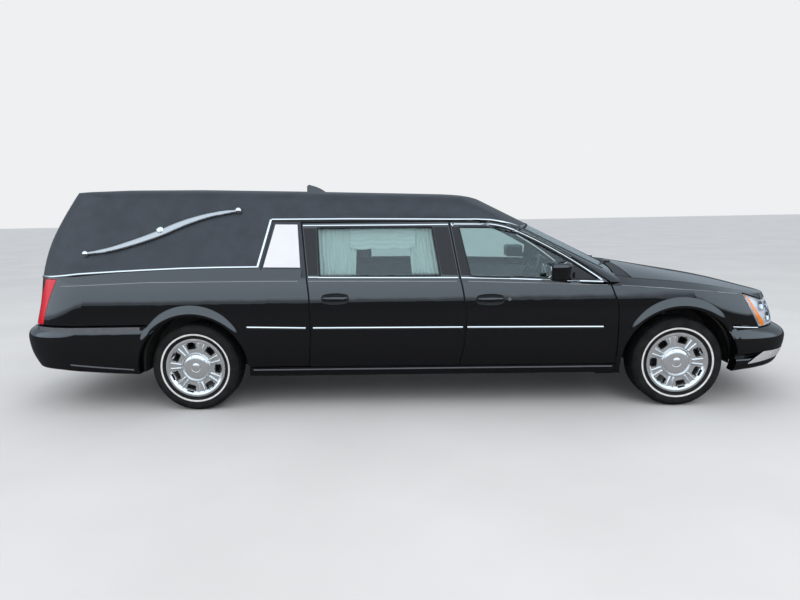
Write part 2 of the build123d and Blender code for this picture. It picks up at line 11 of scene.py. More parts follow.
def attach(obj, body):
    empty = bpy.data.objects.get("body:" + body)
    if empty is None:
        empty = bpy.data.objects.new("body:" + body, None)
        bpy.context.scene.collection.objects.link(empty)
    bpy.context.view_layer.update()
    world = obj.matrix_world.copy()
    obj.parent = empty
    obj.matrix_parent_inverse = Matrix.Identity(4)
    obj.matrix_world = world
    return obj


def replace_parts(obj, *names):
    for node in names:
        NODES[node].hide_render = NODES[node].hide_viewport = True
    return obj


bl_info = {
    "name": "Hearse Looks",
    "version": (1, 0, 0),
    "blender": (4, 5, 0),
    "location": "View3D > Sidebar > Hearse",
    "description": "Dresses the closed landau hearse with paint, trim, curtains and wheels",
    "category": "Object",
}

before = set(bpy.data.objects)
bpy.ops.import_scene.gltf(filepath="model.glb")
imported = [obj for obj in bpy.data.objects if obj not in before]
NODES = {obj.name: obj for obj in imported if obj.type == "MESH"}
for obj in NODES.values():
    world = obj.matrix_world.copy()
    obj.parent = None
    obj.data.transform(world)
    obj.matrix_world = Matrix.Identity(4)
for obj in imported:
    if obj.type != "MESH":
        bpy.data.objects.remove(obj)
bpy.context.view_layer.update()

FRONT_AXLE, REAR_AXLE, HUB_Z = 2.115, -1.6, 0.342
AXLES = (("front", FRONT_AXLE), ("rear", REAR_AXLE))
TRACK_HALF = 0.79
ARCH_Z = 0.332
FRONT_ARCH, REAR_ARCH = 0.438, 0.428
SIDES = ((-1, "right"), (1, "left"))
BESIDE, AHEAD, BEHIND = 1.3, 4.0, -4.0
UP = Vector((0, 0, 1))
MERGE, SINK, CLOTH = 0.00001, 0.003, 0.0012
VOXEL, PRESSURE, SWELL_STEPS = 0.011, 4.0, 20

# Side view outlines in metres (x, z): a pair is an arc, via and to
FRONT_DOOR = [
    (0.397, 1.432), (0.69, 1.426), ((0.85, 1.394), (0.965, 1.345)),
    ((1.29, 1.165), (1.572, 0.968)), (1.612, 0.866), ((1.631, 0.785), (1.636, 0.7)),
    (1.636, 0.352), (0.455, 0.352), ((0.509, 0.7), (0.465, 1.037)),
]
FRONT_WINDOW = [
    (0.47, 1.391), (0.7, 1.386), ((0.86, 1.36), (0.95, 1.318)), ((1.24, 1.16), (1.492, 0.998)),
    (0.546, 1.036),
]
REAR_DOOR = [
    (-0.745, 1.44), (0.385, 1.432), (0.453, 1.037), ((0.497, 0.7), (0.443, 0.352)),
    (-0.698, 0.352), ((-0.668, 0.74), (-0.69, 1.037)),
]
REAR_WINDOW = [(-0.624, 1.402), (0.255, 1.394), (0.312, 1.042), (-0.596, 1.05)]
# Roof drip and landau bar, points (x, z) in the side view
DRIP = [(-0.985, 1.476), (-0.386, 1.469), (0.014, 1.461), (0.368, 1.453), (0.6, 1.448),
        (0.713, 1.4425), (0.811, 1.4265), (0.87, 1.411), (0.93, 1.39)]
LANDAU_LINE = [(-2.407, 1.238), (-2.31, 1.25), (-2.2, 1.272), (-2.024, 1.322), (-1.847, 1.383),
               (-1.749, 1.424), (-1.632, 1.467), (-1.485, 1.508), (-1.338, 1.533), (-1.262, 1.54)]

# Finishes of the nodes that keep their solid shape
CAD_FINISHES = {
    "paint": ["hood", "fenders", "quarters", "front_bumper", "rear_bumper", "rockers",
              "loading_door", "windshield_frame", "mirror_right", "mirror_left", "antenna",
              "front_door_right", "front_door_left", "rear_door_right", "rear_door_left"],
    "vinyl": ["roof_shell"],
    "windshield_glass": ["windshield"],
    "glass": ["loading_glass", "front_door_glass_right", "front_door_glass_left",
              "rear_door_glass_right", "rear_door_glass_left"],
    "plastic": ["cowl", "dashboard", "steering_wheel"],
    "wedge": ["wedge_panels"],
    "curtain": ["drapes"],
    "chrome": ["grille", "landau_bars"],
    "lens": ["headlamps"],
    "red": ["tail_lamps"],
    "underbody": ["arch_liners", "floor_pan", "front_suspension", "rear_suspension", "fuel_tank"],
    "trim": ["center_posts"],
    "exhaust": ["exhaust"],
    "cast": ["engine", "knuckle_left", "knuckle_right"],
    "leather": ["seats"],
    "deck": ["load_deck"],
    "tyre": [name for name in NODES if name.startswith("tyre_")],
    "rim": [name for name in NODES if name.startswith("wheel_")],
}
# Finish, slot of its own pieces or none, material, colour, (rough, metal, coat, spec), what
# mottle takes and what grain takes
FINISHES = (
    ("chrome", "chrome", "bright_chrome", (0.87, 0.86, 0.84), (0.07, 1), (30, 0.05, 0.1), ()),
    ("brushed", "chrome", "brushed_chrome", (0.52, 0.52, 0.52), (0.3, 0.9), (40, 0.24, 0.36),
     (160, 0.15, 0.0003, (0.2, 1, 3))),
    ("bezel", "chrome", "bezel_chrome", (0.74, 0.745, 0.75), (0.22, 0.3), (30, 0.18, 0.28), ()),
    # Light grey crease stripe: partly a pinstripe, partly a painted highlight in place of the sky's
    # sheen on the shoulder crease
    ("pinstripe", "chrome", "silver_stripe_highlight", (0.24, 0.25, 0.26), (0.35, 0, 0.6),
     (90, (0.22, 0.23, 0.24), (0.26, 0.27, 0.28)), ()),
    ("rim", "rim", "rim_chrome", (0.9, 0.91, 0.91), (0.16, 0.72), (25, 0.1, 0.2), ()),
    # Matte near-black of seals, rubbers, seams, vents and screens; also painted shade in the door
    # handle recesses and round the wheel windows
    ("dark", "black_plastic", "dark_gap_and_shade", (0.006, 0.006, 0.006), (0.6,), (), (60, 0.2)),
    ("plastic", "black_plastic", "black_plastic", (0.012, 0.012, 0.012), (0.45,), (),
     (700, 0.25, 0.0004)),
    ("pillar", "black_plastic", "satin_pillar", (0.014, 0.0125, 0.014), (0.4, 0, 0.12, 0.35), (),
     (900, 0.12, 0.0003)),
    ("tyre", "tyre", "tyre_rubber", (0.01, 0.01, 0.01), (0.75, 0, 0, 0.25),
     (14, (0.007, 0.007, 0.007), (0.015, 0.015, 0.0145)), (350, 0.25, 0.0005)),
    ("white_rubber", None, "white_rubber", (0.75, 0.75, 0.73), (0.6,),
     (25, (0.66, 0.66, 0.64), (0.8, 0.8, 0.78)), ()),
    ("underbody", "black_plastic", "undercoat", (0.02, 0.02, 0.02), (0.75,),
     (5, (0.012, 0.012, 0.012), (0.035, 0.033, 0.03)), (120, 0.4, 0.002)),
    ("cast", "cast", "cast_metal", (0.3, 0.3, 0.31), (0.55, 0.8),
     (18, (0.2, 0.2, 0.2), (0.38, 0.38, 0.38)), (160, 0.35)),
    ("exhaust", "steel", "exhaust_steel", (0.33, 0.3, 0.27), (0.45, 0.9),
     (7, (0.2, 0.16, 0.12), (0.42, 0.4, 0.37)), ()),
    ("leather", "leather", "black_hide", (0.03, 0.03, 0.032), (0.42,),
     (16, (0.024, 0.024, 0.025), (0.045, 0.044, 0.044)), (380, 0.4, 0.0006, None, True)),
    ("headliner", "vinyl", "grey_cloth", (0.2, 0.2, 0.2), (0.9,), (), (900, 0.4, 0.0006)),
    ("deck", None, "deck_laminate", (0.07, 0.03, 0.015), (0.25, 0, 0.6),
     (3, (0.045, 0.018, 0.01), (0.1, 0.045, 0.02)), ()),
    ("carpet", "leather", "carpet", (0.03, 0.03, 0.032), (0.95,), (), (1200, 0.8, 0.003)),
    ("amber", "lamp_clear", "amber_lens", (0.9, 0.25, 0.01), (0.2, 0, 1, 0.3), (),
     (60, 0.4, 0.002, (0.2, 0.2, 3))),
    ("red", "lamp_red", "red_lens", (0.72, 0.002, 0.016), (0.2, 0, 0.35, 0.3), (),
     (60, 0.4, 0.002, (0.2, 0.2, 3))),
    ("red_depth", "lamp_red", "red_depth", (0.3, 0.004, 0.01), (0.3,), (),
     (45, 0.5, 0.003, (0.2, 0.2, 3))),
    ("reflector", "lamp_clear", "lamp_reflector", (0.86, 0.87, 0.88), (0.4, 0.25), (),
     (60, 0.3, 0.002, (3, 0.3, 0.3))),
    ("mirror_bowl", "chrome", "mirror_bowl", (0.9, 0.91, 0.92), (0.05, 1), (80, 0.03, 0.08), ()),
    # Mid grey of the bumper band, lamp rings and door lock; also the painted highlight lines on the
    # rocker's top edge and the rear bumper's crease
    ("band", "black_plastic", "grey_band_and_edge_highlight", (0.12, 0.125, 0.135), (0.35, 0, 0.4),
     (30, (0.11, 0.115, 0.125), (0.13, 0.135, 0.145)), ()),
    ("plate", "lamp_clear", "blank_plate", (0.75, 0.76, 0.76), (0.4,),
     (40, (0.7, 0.71, 0.71), (0.78, 0.79, 0.79)), ()),
    ("iron", "steel", "brake_iron", (0.36, 0.35, 0.34), (0.35, 0.9), (),
     (240, 0.3, 0.0006, (1, 0.1, 1))),
    ("trim", "leather", "grey_trim", (0.16, 0.16, 0.165), (0.8,),
     (12, (0.14, 0.14, 0.145), (0.18, 0.18, 0.185)), (700, 0.3, 0.0005)),
    ("walnut", "leather", "walnut_inlay", (0.09, 0.035, 0.015), (0.2, 0, 1),
     (14, (0.05, 0.018, 0.008), (0.14, 0.06, 0.024)), ()),
)
# Sockets that only one finish sets
EXTRAS = (("paint", "Coat Roughness", 0.015), ("paint", "Coat IOR", 1.85),
          ("curtain", "Sheen Weight", 0.4))
# Glass of each kind: material, tint, set share of gloss or none
PANES = (("glass", "tinted_glass", (0.81, 0.89, 0.88), None),
         ("windshield_glass", "windshield_glass", (0.84, 0.92, 0.9), None),
         ("lens", "clear_lens", (0.97, 0.98, 1.0), 0.05))
# Reflected sky by height and from the camera's side to the far side: (place, tone)
SKY_HEIGHT = ((0.0, 0.3), (0.02, 0.8), (0.12, 0.9), (0.4, 0.86), (1.0, 0.74))
SKY_DEPTH = ((0.0, 1.0), (0.4, 1.0), (0.62, 0.4), (1.0, 0.3))
SKY_TINT = (0.85, 0.93, 1.0)

M, SLOTS = {}, {}


# settings
class HearsePaint(bpy.types.PropertyGroup):
    """Colours of the body"""
    body: FloatVectorProperty(
        name="Body paint", description="Colour of the gloss body panels", subtype="COLOR",
        size=3, default=(0.0035, 0.0035, 0.004), min=0, max=1)
    vinyl: FloatVectorProperty(
        name="Vinyl roof", description="Colour of the padded vinyl roof", subtype="COLOR",
        size=3, default=(0.026, 0.03, 0.038), min=0, max=1)
    wedge: FloatVectorProperty(
        name="Wedge panel", description="Colour of the pale panel behind the rear door",
        subtype="COLOR", size=3, default=(0.82, 0.82, 0.83), min=0, max=1)
    curtain: FloatVectorProperty(
        name="Curtain", description="Colour of the pleated curtain cloth", subtype="COLOR",
        size=3, default=(0.64, 0.66, 0.65), min=0, max=1)


class HearseTrim(bpy.types.PropertyGroup):
    """Sizes of the bright trim"""
    belt_width: FloatProperty(
        name="Belt width", description="Width of the bright belt moulding", unit="LENGTH",
        default=0.014, min=0.004, max=0.04)
    side_width: FloatProperty(
        name="Side moulding width", description="Width of the bright side moulding",
        unit="LENGTH", default=0.021, min=0.006, max=0.05)
    whitewall_radius: FloatProperty(
        name="White line radius", description="Outer radius of the thin white tyre line",
        unit="LENGTH", default=0.272, min=0.24, max=0.32)
    whitewall_width: FloatProperty(
        name="White line width", description="Width of the thin white tyre line",
        unit="LENGTH", default=0.013, min=0.004, max=0.04)
    tread_blocks: IntProperty(
        name="Tread blocks", description="Number of tread blocks round each tyre",
        default=64, min=24, max=96)


class HearseView(bpy.types.PropertyGroup):
    """Camera of the stage"""
    camera_place: FloatVectorProperty(
        name="Camera place", description="Where the camera stands", subtype="TRANSLATION",
        size=3, default=(0.138, -5.402, 1.554))
    camera_yaw: FloatProperty(
        name="Yaw", description="Turn of the camera to its left", subtype="ANGLE",
        default=radians(1.66))
    camera_pitch: FloatProperty(
        name="Pitch", description="How far the camera looks down", subtype="ANGLE",
        default=radians(8.81))
    camera_roll: FloatProperty(
        name="Roll", description="Roll of the camera", subtype="ANGLE", default=radians(1.09))
    lens: FloatProperty(
        name="Lens", description="Focal length in millimetres on a 36 mm sensor",
        default=27.0, min=10, max=200)


# materials
def wire(links, *rows):
    """Links sockets: each row is a node, its output, the next node and its input."""
    for start, out, end, socket in rows:
        links.new(start.outputs[out], end.inputs[socket])


def new_material(name):
    """An empty node material with its shader; returns material, nodes, links and shader."""
    material = bpy.data.materials.new(name)
    material.use_nodes = True
    tree = material.node_tree
    return material, tree.nodes, tree.links, tree.nodes["Principled BSDF"]


def plain(name, color, rough, metal=0.0, coat=0.0, spec=0.5):
    """A shader with constant finish numbers."""
    parts = new_material(name)
    for socket, value in (("Base Color", (*color, 1)), ("Roughness", rough), ("Metallic", metal),
                          ("Coat Weight", coat), ("Coat Roughness", 0.03),
                          ("Specular IOR Level", spec)):
        parts[3].inputs[socket].default_value = value
    return parts


def grain(parts, scale, strength, distance=0.001, stretch=None, cells=False):
    """Adds a bump of noise or cells to a shader, read from object coordinates."""
    nodes, links, shader = parts[1:]
    source, out = nodes.new("ShaderNodeTexCoord").outputs["Object"], "Fac"
    if stretch:
        mapping = nodes.new("ShaderNodeMapping")
        mapping.inputs["Scale"].default_value = stretch
        links.new(source, mapping.inputs["Vector"])
        source = mapping.outputs["Vector"]
    if cells:
        texture, out = nodes.new("ShaderNodeTexVoronoi"), "Distance"
        texture.feature = "DISTANCE_TO_EDGE"
    else:
        texture = nodes.new("ShaderNodeTexNoise")
        texture.inputs["Detail"].default_value = 4
    texture.inputs["Scale"].default_value = scale
    links.new(source, texture.inputs["Vector"])
    bump = nodes.new("ShaderNodeBump")
    bump.inputs["Strength"].default_value = strength
    bump.inputs["Distance"].default_value = distance
    wire(links, (texture, out, bump, "Height"), (bump, "Normal", shader, "Normal"))


def mottle(parts, scale, dark, light):
    """Varies the colour between two colours, or the roughness between two numbers."""
    nodes, links, shader = parts[1:]
    coords, noise = nodes.new("ShaderNodeTexCoord"), nodes.new("ShaderNodeTexNoise")
    noise.inputs["Scale"].default_value = scale
    noise.inputs["Detail"].default_value = 5
    ramp = nodes.new("ShaderNodeValToRGB")
    for stop, place, tone in zip(ramp.color_ramp.elements, (0.35, 0.65), (dark, light)):
        stop.position = place
        stop.color = (*tone, 1) if isinstance(tone, tuple) else (tone, tone, tone, 1)
    wire(links, (coords, "Object", noise, "Vector"), (noise, "Fac", ramp, "Fac"),
         (ramp, "Color", shader, "Base Color" if isinstance(dark, tuple) else "Roughness"))


def shade(color, factor):
    """A colour made darker or lighter."""
    return tuple(c * factor for c in color)


def make_materials():
    """Makes all finishes and notes the slot of each."""
    paint = bpy.context.scene.hearse_paint
    body, vinyl, wedge = tuple(paint.body), tuple(paint.vinyl), tuple(paint.wedge)
    chosen = (
        ("paint", "body_paint", "gloss_black_paint", body, (0.6, 0, 1, 0.1),
         (420, shade(body, 0.5), (*body[:2], body[2] * 1.1)), ()),
        ("vinyl", None, "padded_vinyl", vinyl, (0.5, 0, 0.05),
         (9, shade(vinyl, 0.85), shade(vinyl, 1.2)), (520, 0.5, 0.0006, None, True)),
        ("wedge", None, "pale_panel", wedge, (0.3, 0, 0.4),
         (6, shade(wedge, 0.96), wedge), ()),
        ("curtain", "curtain_cloth", "curtain_cloth", tuple(paint.curtain), (0.75,), (),
         (900, 0.35, 0.0005)))
    for finish, slot, name, color, numbers, mottled, grained in (*FINISHES, *chosen):
        parts = plain(name, color, *numbers)
        if mottled:
            mottle(parts, *mottled)
        if grained:
            grain(parts, *grained)
        M[finish], SLOTS[finish] = parts[0], slot
    for finish, socket, value in EXTRAS:
        M[finish].node_tree.nodes["Principled BSDF"].inputs[socket].default_value = value
    for finish, name, tint, share in PANES:
        M[finish] = glass(name, tint, share)


def glass(name, tint, share):
    """Thin see-through pane: a tint under a gloss that grows edge-on, or a set share of gloss."""
    material, nodes, links, shader = new_material(name)
    nodes.remove(shader)
    clear, gloss = nodes.new("ShaderNodeBsdfTransparent"), nodes.new("ShaderNodeBsdfGlossy")
    clear.inputs["Color"].default_value = (*tint, 1)
    gloss.inputs["Roughness"].default_value = 0.02
    gloss.inputs["Color"].default_value = (1, 1, 1, 1)
    mix = nodes.new("ShaderNodeMixShader")
    if share is None:
        edge, steep = nodes.new("ShaderNodeLayerWeight"), nodes.new("ShaderNodeMath")
        edge.inputs["Blend"].default_value = 0.5
        steep.operation = "POWER"
        steep.inputs[1].default_value = 5
        gain = nodes.new("ShaderNodeMapRange")
        gain.inputs["To Min"].default_value, gain.inputs["To Max"].default_value = 0.05, 1.0
        wire(links, (edge, "Facing", steep, 0), (steep, "Value", gain, "Value"),
             (gain, "Result", mix, "Fac"))
    else:
        mix.inputs["Fac"].default_value = share
    wire(links, (clear, "BSDF", mix, 1), (gloss, "BSDF", mix, 2),
         (mix, "Shader", nodes["Material Output"], "Surface"))
    return material


def dim_reflection(parts, tone):
    """Shows a plain darker tone where a surface is seen in a reflection."""
    nodes, links, shader = parts[1:]
    path, dim = nodes.new("ShaderNodeLightPath"), nodes.new("ShaderNodeBsdfDiffuse")
    dim.inputs["Color"].default_value = (tone, tone, tone * 1.04, 1)
    mix = nodes.new("ShaderNodeMixShader")
    wire(links, (path, "Is Glossy Ray", mix, "Fac"), (shader, "BSDF", mix, 1),
         (dim, "BSDF", mix, 2), (mix, "Shader", nodes["Material Output"], "Surface"))


# mesh helpers
def finish_mesh(name, bm, finish, body="body", keep=False):
    """Turns a bmesh into a piece that rides on a body; a second finish is for marked faces."""
    bmesh.ops.remove_doubles(bm, verts=bm.verts, dist=MERGE)
    if not keep:
        bmesh.ops.recalc_face_normals(bm, faces=bm.faces)
    mesh = bpy.data.meshes.new(name)
    bm.to_mesh(mesh)
    bm.free()
    obj = bpy.data.objects.new(name, mesh)
    bpy.context.scene.collection.objects.link(obj)
    finishes = (finish,) if isinstance(finish, str) else finish
    for key in finishes:
        mesh.materials.append(M[key])
    mesh.shade_smooth()
    mesh.set_sharp_from_angle(angle=radians(35))
    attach(obj, body)
    return obj


def build(name, finish, shapes, body="body"):
    """A piece of simple shapes: each row is the function that makes one and what it takes."""
    bm = bmesh.new()
    for make, *given in shapes:
        make(bm, *given)
    return finish_mesh(name, bm, finish, body)


def solids(*names):
    """CAD meshes of nodes in one bmesh."""
    bm = bmesh.new()
    for name in names:
        bm.from_mesh(NODES[name].data)
    return bm


def tree_of(*names):
    """A ray target made of CAD nodes."""
    bm = solids(*names)
    tree = BVHTree.FromBMesh(bm)
    bm.free()
    return tree


def hit_of(tree, start, direction, name):
    """Point and normal where a ray meets a CAD surface; a miss is an error."""
    place, normal = tree.ray_cast(Vector(start), Vector(direction))[:2]
    if place is None:
        raise RuntimeError(f"{name}: a ray misses its ground")
    return place, normal


def on_side(tree, x, z, side, start=BESIDE):
    """Point and normal where a ray along Y from outside meets a CAD surface."""
    return tree.ray_cast(Vector((x, side * start, z)), Vector((0, -side, 0)))[:2]


def new_verts(made):
    """Points that an extrusion has made."""
    return [g for g in made["geom"] if isinstance(g, bmesh.types.BMVert)]


def grid(cells, place, bm=None):
    """Grid with its points at place(s, t), where s and t run from 0 to 1."""
    if bm is None:
        bm = bmesh.new()
    made = bmesh.ops.create_grid(bm, x_segments=cells[0], y_segments=cells[1], size=0.5)
    for v in made["verts"]:
        v.co = place(v.co.x + 0.5, v.co.y + 0.5)
    return bm


def turn_back(bm, move):
    """Turns the open edge of a panel back by a move."""
    made = bmesh.ops.extrude_edge_only(bm, edges=[e for e in bm.edges if e.is_boundary])
    bmesh.ops.translate(bm, vec=move, verts=new_verts(made))


def circle(radius, count):
    """Points of a circle."""
    return [(cos(2 * pi * k / count) * radius, sin(2 * pi * k / count) * radius)
            for k in range(count)]


def placed(x, y, z, degrees=0, axis="Z"):
    """Matrix that turns about an axis and moves to a place."""
    return Matrix.Translation((x, y, z)) @ Matrix.Rotation(radians(degrees), 4, axis)


def facing(place, normal):
    """Matrix that turns Y along a normal and moves to a place."""
    return Matrix.Translation(place) @ normal.to_track_quat("Y", "Z").to_matrix().to_4x4()


def sweep(bm, path, normals, profile, closed=False):
    """Sweeps a profile along a path by extruding its edges. Profile points are (across, out)."""
    count = len(path)
    rings = []
    for i, (p, n) in enumerate(zip(path, normals)):
        before = path[i - 1] if i or closed else path[0]
        after = path[(i + 1) % count] if i + 1 < count or closed else path[-1]
        along = (after - before).normalized()
        out = (n - along * n.dot(along)).normalized()
        across = along.cross(out)
        ring = profile[i] if isinstance(profile[0], list) else profile
        rings.append([p + across * a + out * o for a, o in ring])
    verts = [bm.verts.new(co) for co in rings[0]]
    size = len(rings[0])
    edges = [bm.edges.new((verts[i], verts[(i + 1) % size])) for i in range(size)]
    first = list(verts)
    if not closed:
        bm.faces.new(list(reversed(verts)))
    for ring in rings[1:]:
        made = bmesh.ops.extrude_edge_only(bm, edges=edges)
        new = new_verts(made)
        edges = [g for g in made["geom"] if isinstance(g, bmesh.types.BMEdge)
                 and all(v in new for v in g.verts)]
        pairs = {}
        for v in new:
            for e in v.link_edges:
                other = e.other_vert(v)
                if other in verts:
                    pairs[verts.index(other)] = v
        verts = [pairs[i] for i in range(size)]
        for v, co in zip(verts, ring):
            v.co = co
    if closed:
        for i in range(size):
            a, b = verts[i], verts[(i + 1) % size]
            bm.faces.new((a, b, first[(i + 1) % size], first[i]))
    else:
        bm.faces.new(verts)


def half_round(width, height, steps=5):
    """Profile of a crowned strip that sinks a little into its ground."""
    points = [(-width / 2, -SINK)]
    for i in range(steps + 1):
        a = pi * (1 - i / steps)
        points.append((cos(a) * width / 2, sin(a) * height))
    points.append((width / 2, -SINK))
    return points


def between(points, step=0.06):
    """Points along straight runs, at most a step apart."""
    out = [Vector(points[0])]
    for a, b in zip(points, points[1:]):
        a, b = Vector(a), Vector(b)
        count = max(1, int((b - a).length / step + 0.5))
        out += [a.lerp(b, (i + 1) / count) for i in range(count)]
    return out


def curve_through(points, steps=6):
    """Smooth run through points (Catmull-Rom)."""
    pts = [Vector(p) for p in points]
    ext = [pts[0] * 2 - pts[1]] + pts + [pts[-1] * 2 - pts[-2]]
    out = []
    for i in range(len(pts) - 1):
        p0, p1, p2, p3 = ext[i:i + 4]
        for k in range(steps):
            t = k / steps
            out.append(0.5 * ((2 * p1) + (p2 - p0) * t + (2 * p0 - 5 * p1 + 4 * p2 - p3) * t * t
                              + (3 * p1 - p0 - 3 * p2 + p3) * t ** 3))
    out.append(pts[-1])
    return out


def lay(rays, tree):
    """Places and normals where rays (start, direction) meet a CAD surface."""
    path, normals = [], []
    for start, direction in rays:
        place, normal = tree.ray_cast(start, direction)[:2]
        if place is not None:
            path.append(place)
            normals.append(normal if normal.dot(direction) < 0 else -normal)
    return path, normals


def side_rays(points, side, step=0.05):
    """Rays across the car through (x, z) points."""
    run = between([(x, 0, z) for x, z in points], step)
    return [(Vector((p.x, side * BESIDE, p.z)), Vector((0, -side, 0))) for p in run]


def corner_rays(steps, side, x, y, z, drop=0.0):
    """Rays that turn round a rear corner of the body, from its side to its back."""
    rays = []
    for k in steps:
        turn = radians(90 * k / steps[-1])
        out = Vector((-sin(turn), side * cos(turn), 0))
        rays.append((Vector((x, side * y, z - drop * k)) + out * 2, -out))
    return rays


def strip(name, rays, tree, profile, finish, body="body", closed=False):
    """A moulding laid along rays on a CAD surface."""
    path, normals = lay(rays, tree)
    if len(path) < 2:
        raise RuntimeError(f"{name}: nothing to lie on")
    bm = bmesh.new()
    sweep(bm, path, normals, profile, closed)
    return finish_mesh(name, bm, finish, body)


def flat_bar(width, height, sink=SINK, round_by=0.0015):
    """Profile of a flat strip with eased edges."""
    w = width / 2
    return [(-w, -sink), (-w, height - round_by), (-w + round_by, height), (w - round_by, height),
            (w, height - round_by), (w, -sink)]


def trace(points, step=0.04):
    """Corner and arc table to a run of (x, z) points, arcs given as (via, to)."""
    run = [Vector(points[0])]
    for item in list(points[1:]) + [points[0]]:
        a = run[-1]
        if isinstance(item[0], tuple):
            via, end = Vector(item[0]), Vector(item[1])
            d = 2 * (a.x * (via.y - end.y) + via.x * (end.y - a.y) + end.x * (a.y - via.y))
            sa, sv, se = a.length_squared, via.length_squared, end.length_squared
            centre = Vector(((sa * (via.y - end.y) + sv * (end.y - a.y) + se * (a.y - via.y)) / d,
                             (sa * (end.x - via.x) + sv * (a.x - end.x) + se * (via.x - a.x)) / d))
            radius = (a - centre).length
            start = (a - centre).angle_signed(Vector((1, 0)))
            turn = (via - centre).angle_signed(a - centre) + (end - centre).angle_signed(
                via - centre)
            count = max(3, int(abs(turn) * radius / step) + 1)
            for k in range(1, count + 1):
                angle = start + turn * k / count
                run.append(centre + Vector((cos(angle), sin(angle))) * radius)
        else:
            end = Vector(item)
            count = max(1, int((end - a).length / step))
            run += [a.lerp(end, (k + 1) / count) for k in range(count)]
    run.pop()
    return run


def grow(run, amount):
    """Moves a closed run of points out (or in) by an amount."""
    turning = sum(a.x * b.y - a.y * b.x for a, b in zip(run, run[1:] + run[:1]))
    sign = 1 if turning > 0 else -1
    out = []
    for i, p in enumerate(run):
        along = (run[(i + 1) % len(run)] - run[i - 1]).normalized()
        out.append(p + Vector((along.y, -along.x)) * sign * amount)
    return out


def patch(name, corners, side, tree, finish, body, lift=0.0015, cells=(8, 8), rim=0.004,
          start=BESIDE):
    """A thin panel laid on the body side between four (x, z) corners."""
    a, b, c, d = (Vector(p) for p in corners)

    def place(s, t):
        p = a.lerp(b, s).lerp(d.lerp(c, s), t)
        spot = on_side(tree, p.x, p.y, side, start)[0]
        if spot is None:
            raise RuntimeError(f"{name}: a corner misses the body")
        return spot + Vector((0, side * lift, 0))
    bm = grid(cells, place)
    turn_back(bm, (0, -side * (rim + lift), 0))
    finish_mesh(name, bm, finish, body)


def pill(name, centre, size, side, tree, finish, body, depth, rim):
    """Oblong panel laid on the body side; depth(r) lifts it from its middle (0) to its edge (1)."""
    width, height = size

    def place(s, t):
        s, t = 2 * s - 1, 2 * t - 1
        x = centre[0] + (width - height) / 2 * s + height / 2 * s * (1 - t * t / 2) ** 0.5
        z = centre[1] + height / 2 * t * (1 - s * s / 2) ** 0.5
        spot = on_side(tree, x, z, side)[0]
        if spot is None:
            raise RuntimeError(f"{name}: misses the body")
        return spot + Vector((0, side * depth(max(abs(s), abs(t))), 0))
    bm = grid((24, 10), place)
    turn_back(bm, (0, -side * rim, 0))
    finish_mesh(name, bm, finish, body)


def flare(name, axle, radius, angles, side, tree):
    """Swollen painted edge round a wheel opening, widest above the wheel; angles from the rear."""
    first, last = angles
    count, steps = 60, 10
    path, normals, profile = [], [], []
    for k in range(count + 1):
        turn = radians(first + (last - first) * k / count)
        rise = max(0.0, sin(turn)) ** 1.5
        width, height = 0.03 + 0.05 * rise, 0.003 + 0.011 * rise
        reach = radius + 0.004 + width / 2
        place = on_side(tree, axle - cos(turn) * reach, ARCH_Z + sin(turn) * reach, side)[0]
        if place is None or abs(place.y) < 0.8:
            continue
        ring = [(-side * width / 2, -SINK)]
        for step in range(steps + 1):
            s = step / steps
            roll = min(1.0, 0.55 + 4 * s)
            ring.append((side * (s - 0.5) * width, height * roll * cos(pi * s / 2) ** 1.6))
        path.append(place)
        normals.append(Vector((0, side, 0)))
        profile.append(ring + [(side * width / 2, -SINK)])
    bm = bmesh.new()
    sweep(bm, path, normals, profile)
    finish_mesh(name, bm, "paint")


def front_bezel(name, side, tree):
    """Bright trim in the recess of the front bumper, from its low edge up to the bar."""
    count, first, span, bar = 30, 77, 42, 0.43
    rows = []
    for k in range(count + 1):
        angle = first - span * k / count
        out = Vector((cos(radians(angle)), side * sin(radians(angle)), 0))
        foot = 0.322 + 0.024 * min(1.0, (first - angle) / 16)
        low, high = (hit_of(tree, Vector((2.45, 0, z)) + out * 2, -out, name)[0] + out * 0.004
                     for z in (foot, bar))
        head = 0.004 + (0.412 - foot) * min(1.0, (first - angle) / 7)
        rows.append((low, low.lerp(high, head / (bar - foot)), out))

    def place(s, t):
        low, high, out = rows[round(s * count)]
        return low.lerp(high, t) + out * 0.002 * sin(pi * t)
    bm = grid((count, 6), place)
    bmesh.ops.solidify(bm, geom=bm.faces[:], thickness=0.002)
    finish_mesh(name, bm, "bezel")


def box(bm, low, high, bevel=0.0, segments=2, place=None):
    """Box between two corners, with rounded edges."""
    low, high = (Vector(map(pick, low, high)) for pick in (min, max))
    matrix = Matrix.Translation((low + high) / 2) @ Matrix.Diagonal((*(high - low), 1))
    if place is not None:
        matrix = place @ matrix
    made = bmesh.ops.create_cube(bm, size=1, matrix=matrix)
    if bevel:
        edges = list({e for v in made["verts"] for e in v.link_edges})
        bmesh.ops.bevel(bm, geom=edges, offset=bevel, segments=segments, affect="EDGES",
                        profile=0.5, material=-1)


def lathe(bm, profile, place=None, steps=48):
    """Turns a run of (radius, along) points round Y, then places it."""
    old = set(bm.verts)
    verts = [bm.verts.new((r, a, 0)) for r, a in profile]
    edges = [bm.edges.new(pair) for pair in zip(verts, verts[1:])]
    bmesh.ops.spin(bm, geom=verts + edges, cent=(0, 0, 0), axis=(0, 1, 0), angle=2 * pi,
                   steps=steps, use_merge=True)
    fresh = [v for v in bm.verts if v not in old]
    bmesh.ops.remove_doubles(bm, verts=fresh, dist=0.000001)
    if place is not None:
        bmesh.ops.transform(bm, matrix=place, verts=[v for v in bm.verts if v not in old])


def rod(bm, start, end, radius, segments=16):
    """Round bar between two points."""
    start, end = Vector(start), Vector(end)
    turn = (end - start).to_track_quat("Z", "Y").to_matrix().to_4x4()
    matrix = Matrix.Translation((start + end) / 2) @ turn
    bmesh.ops.create_cone(bm, cap_ends=True, segments=segments, radius1=radius, radius2=radius,
                          depth=(end - start).length, matrix=matrix)


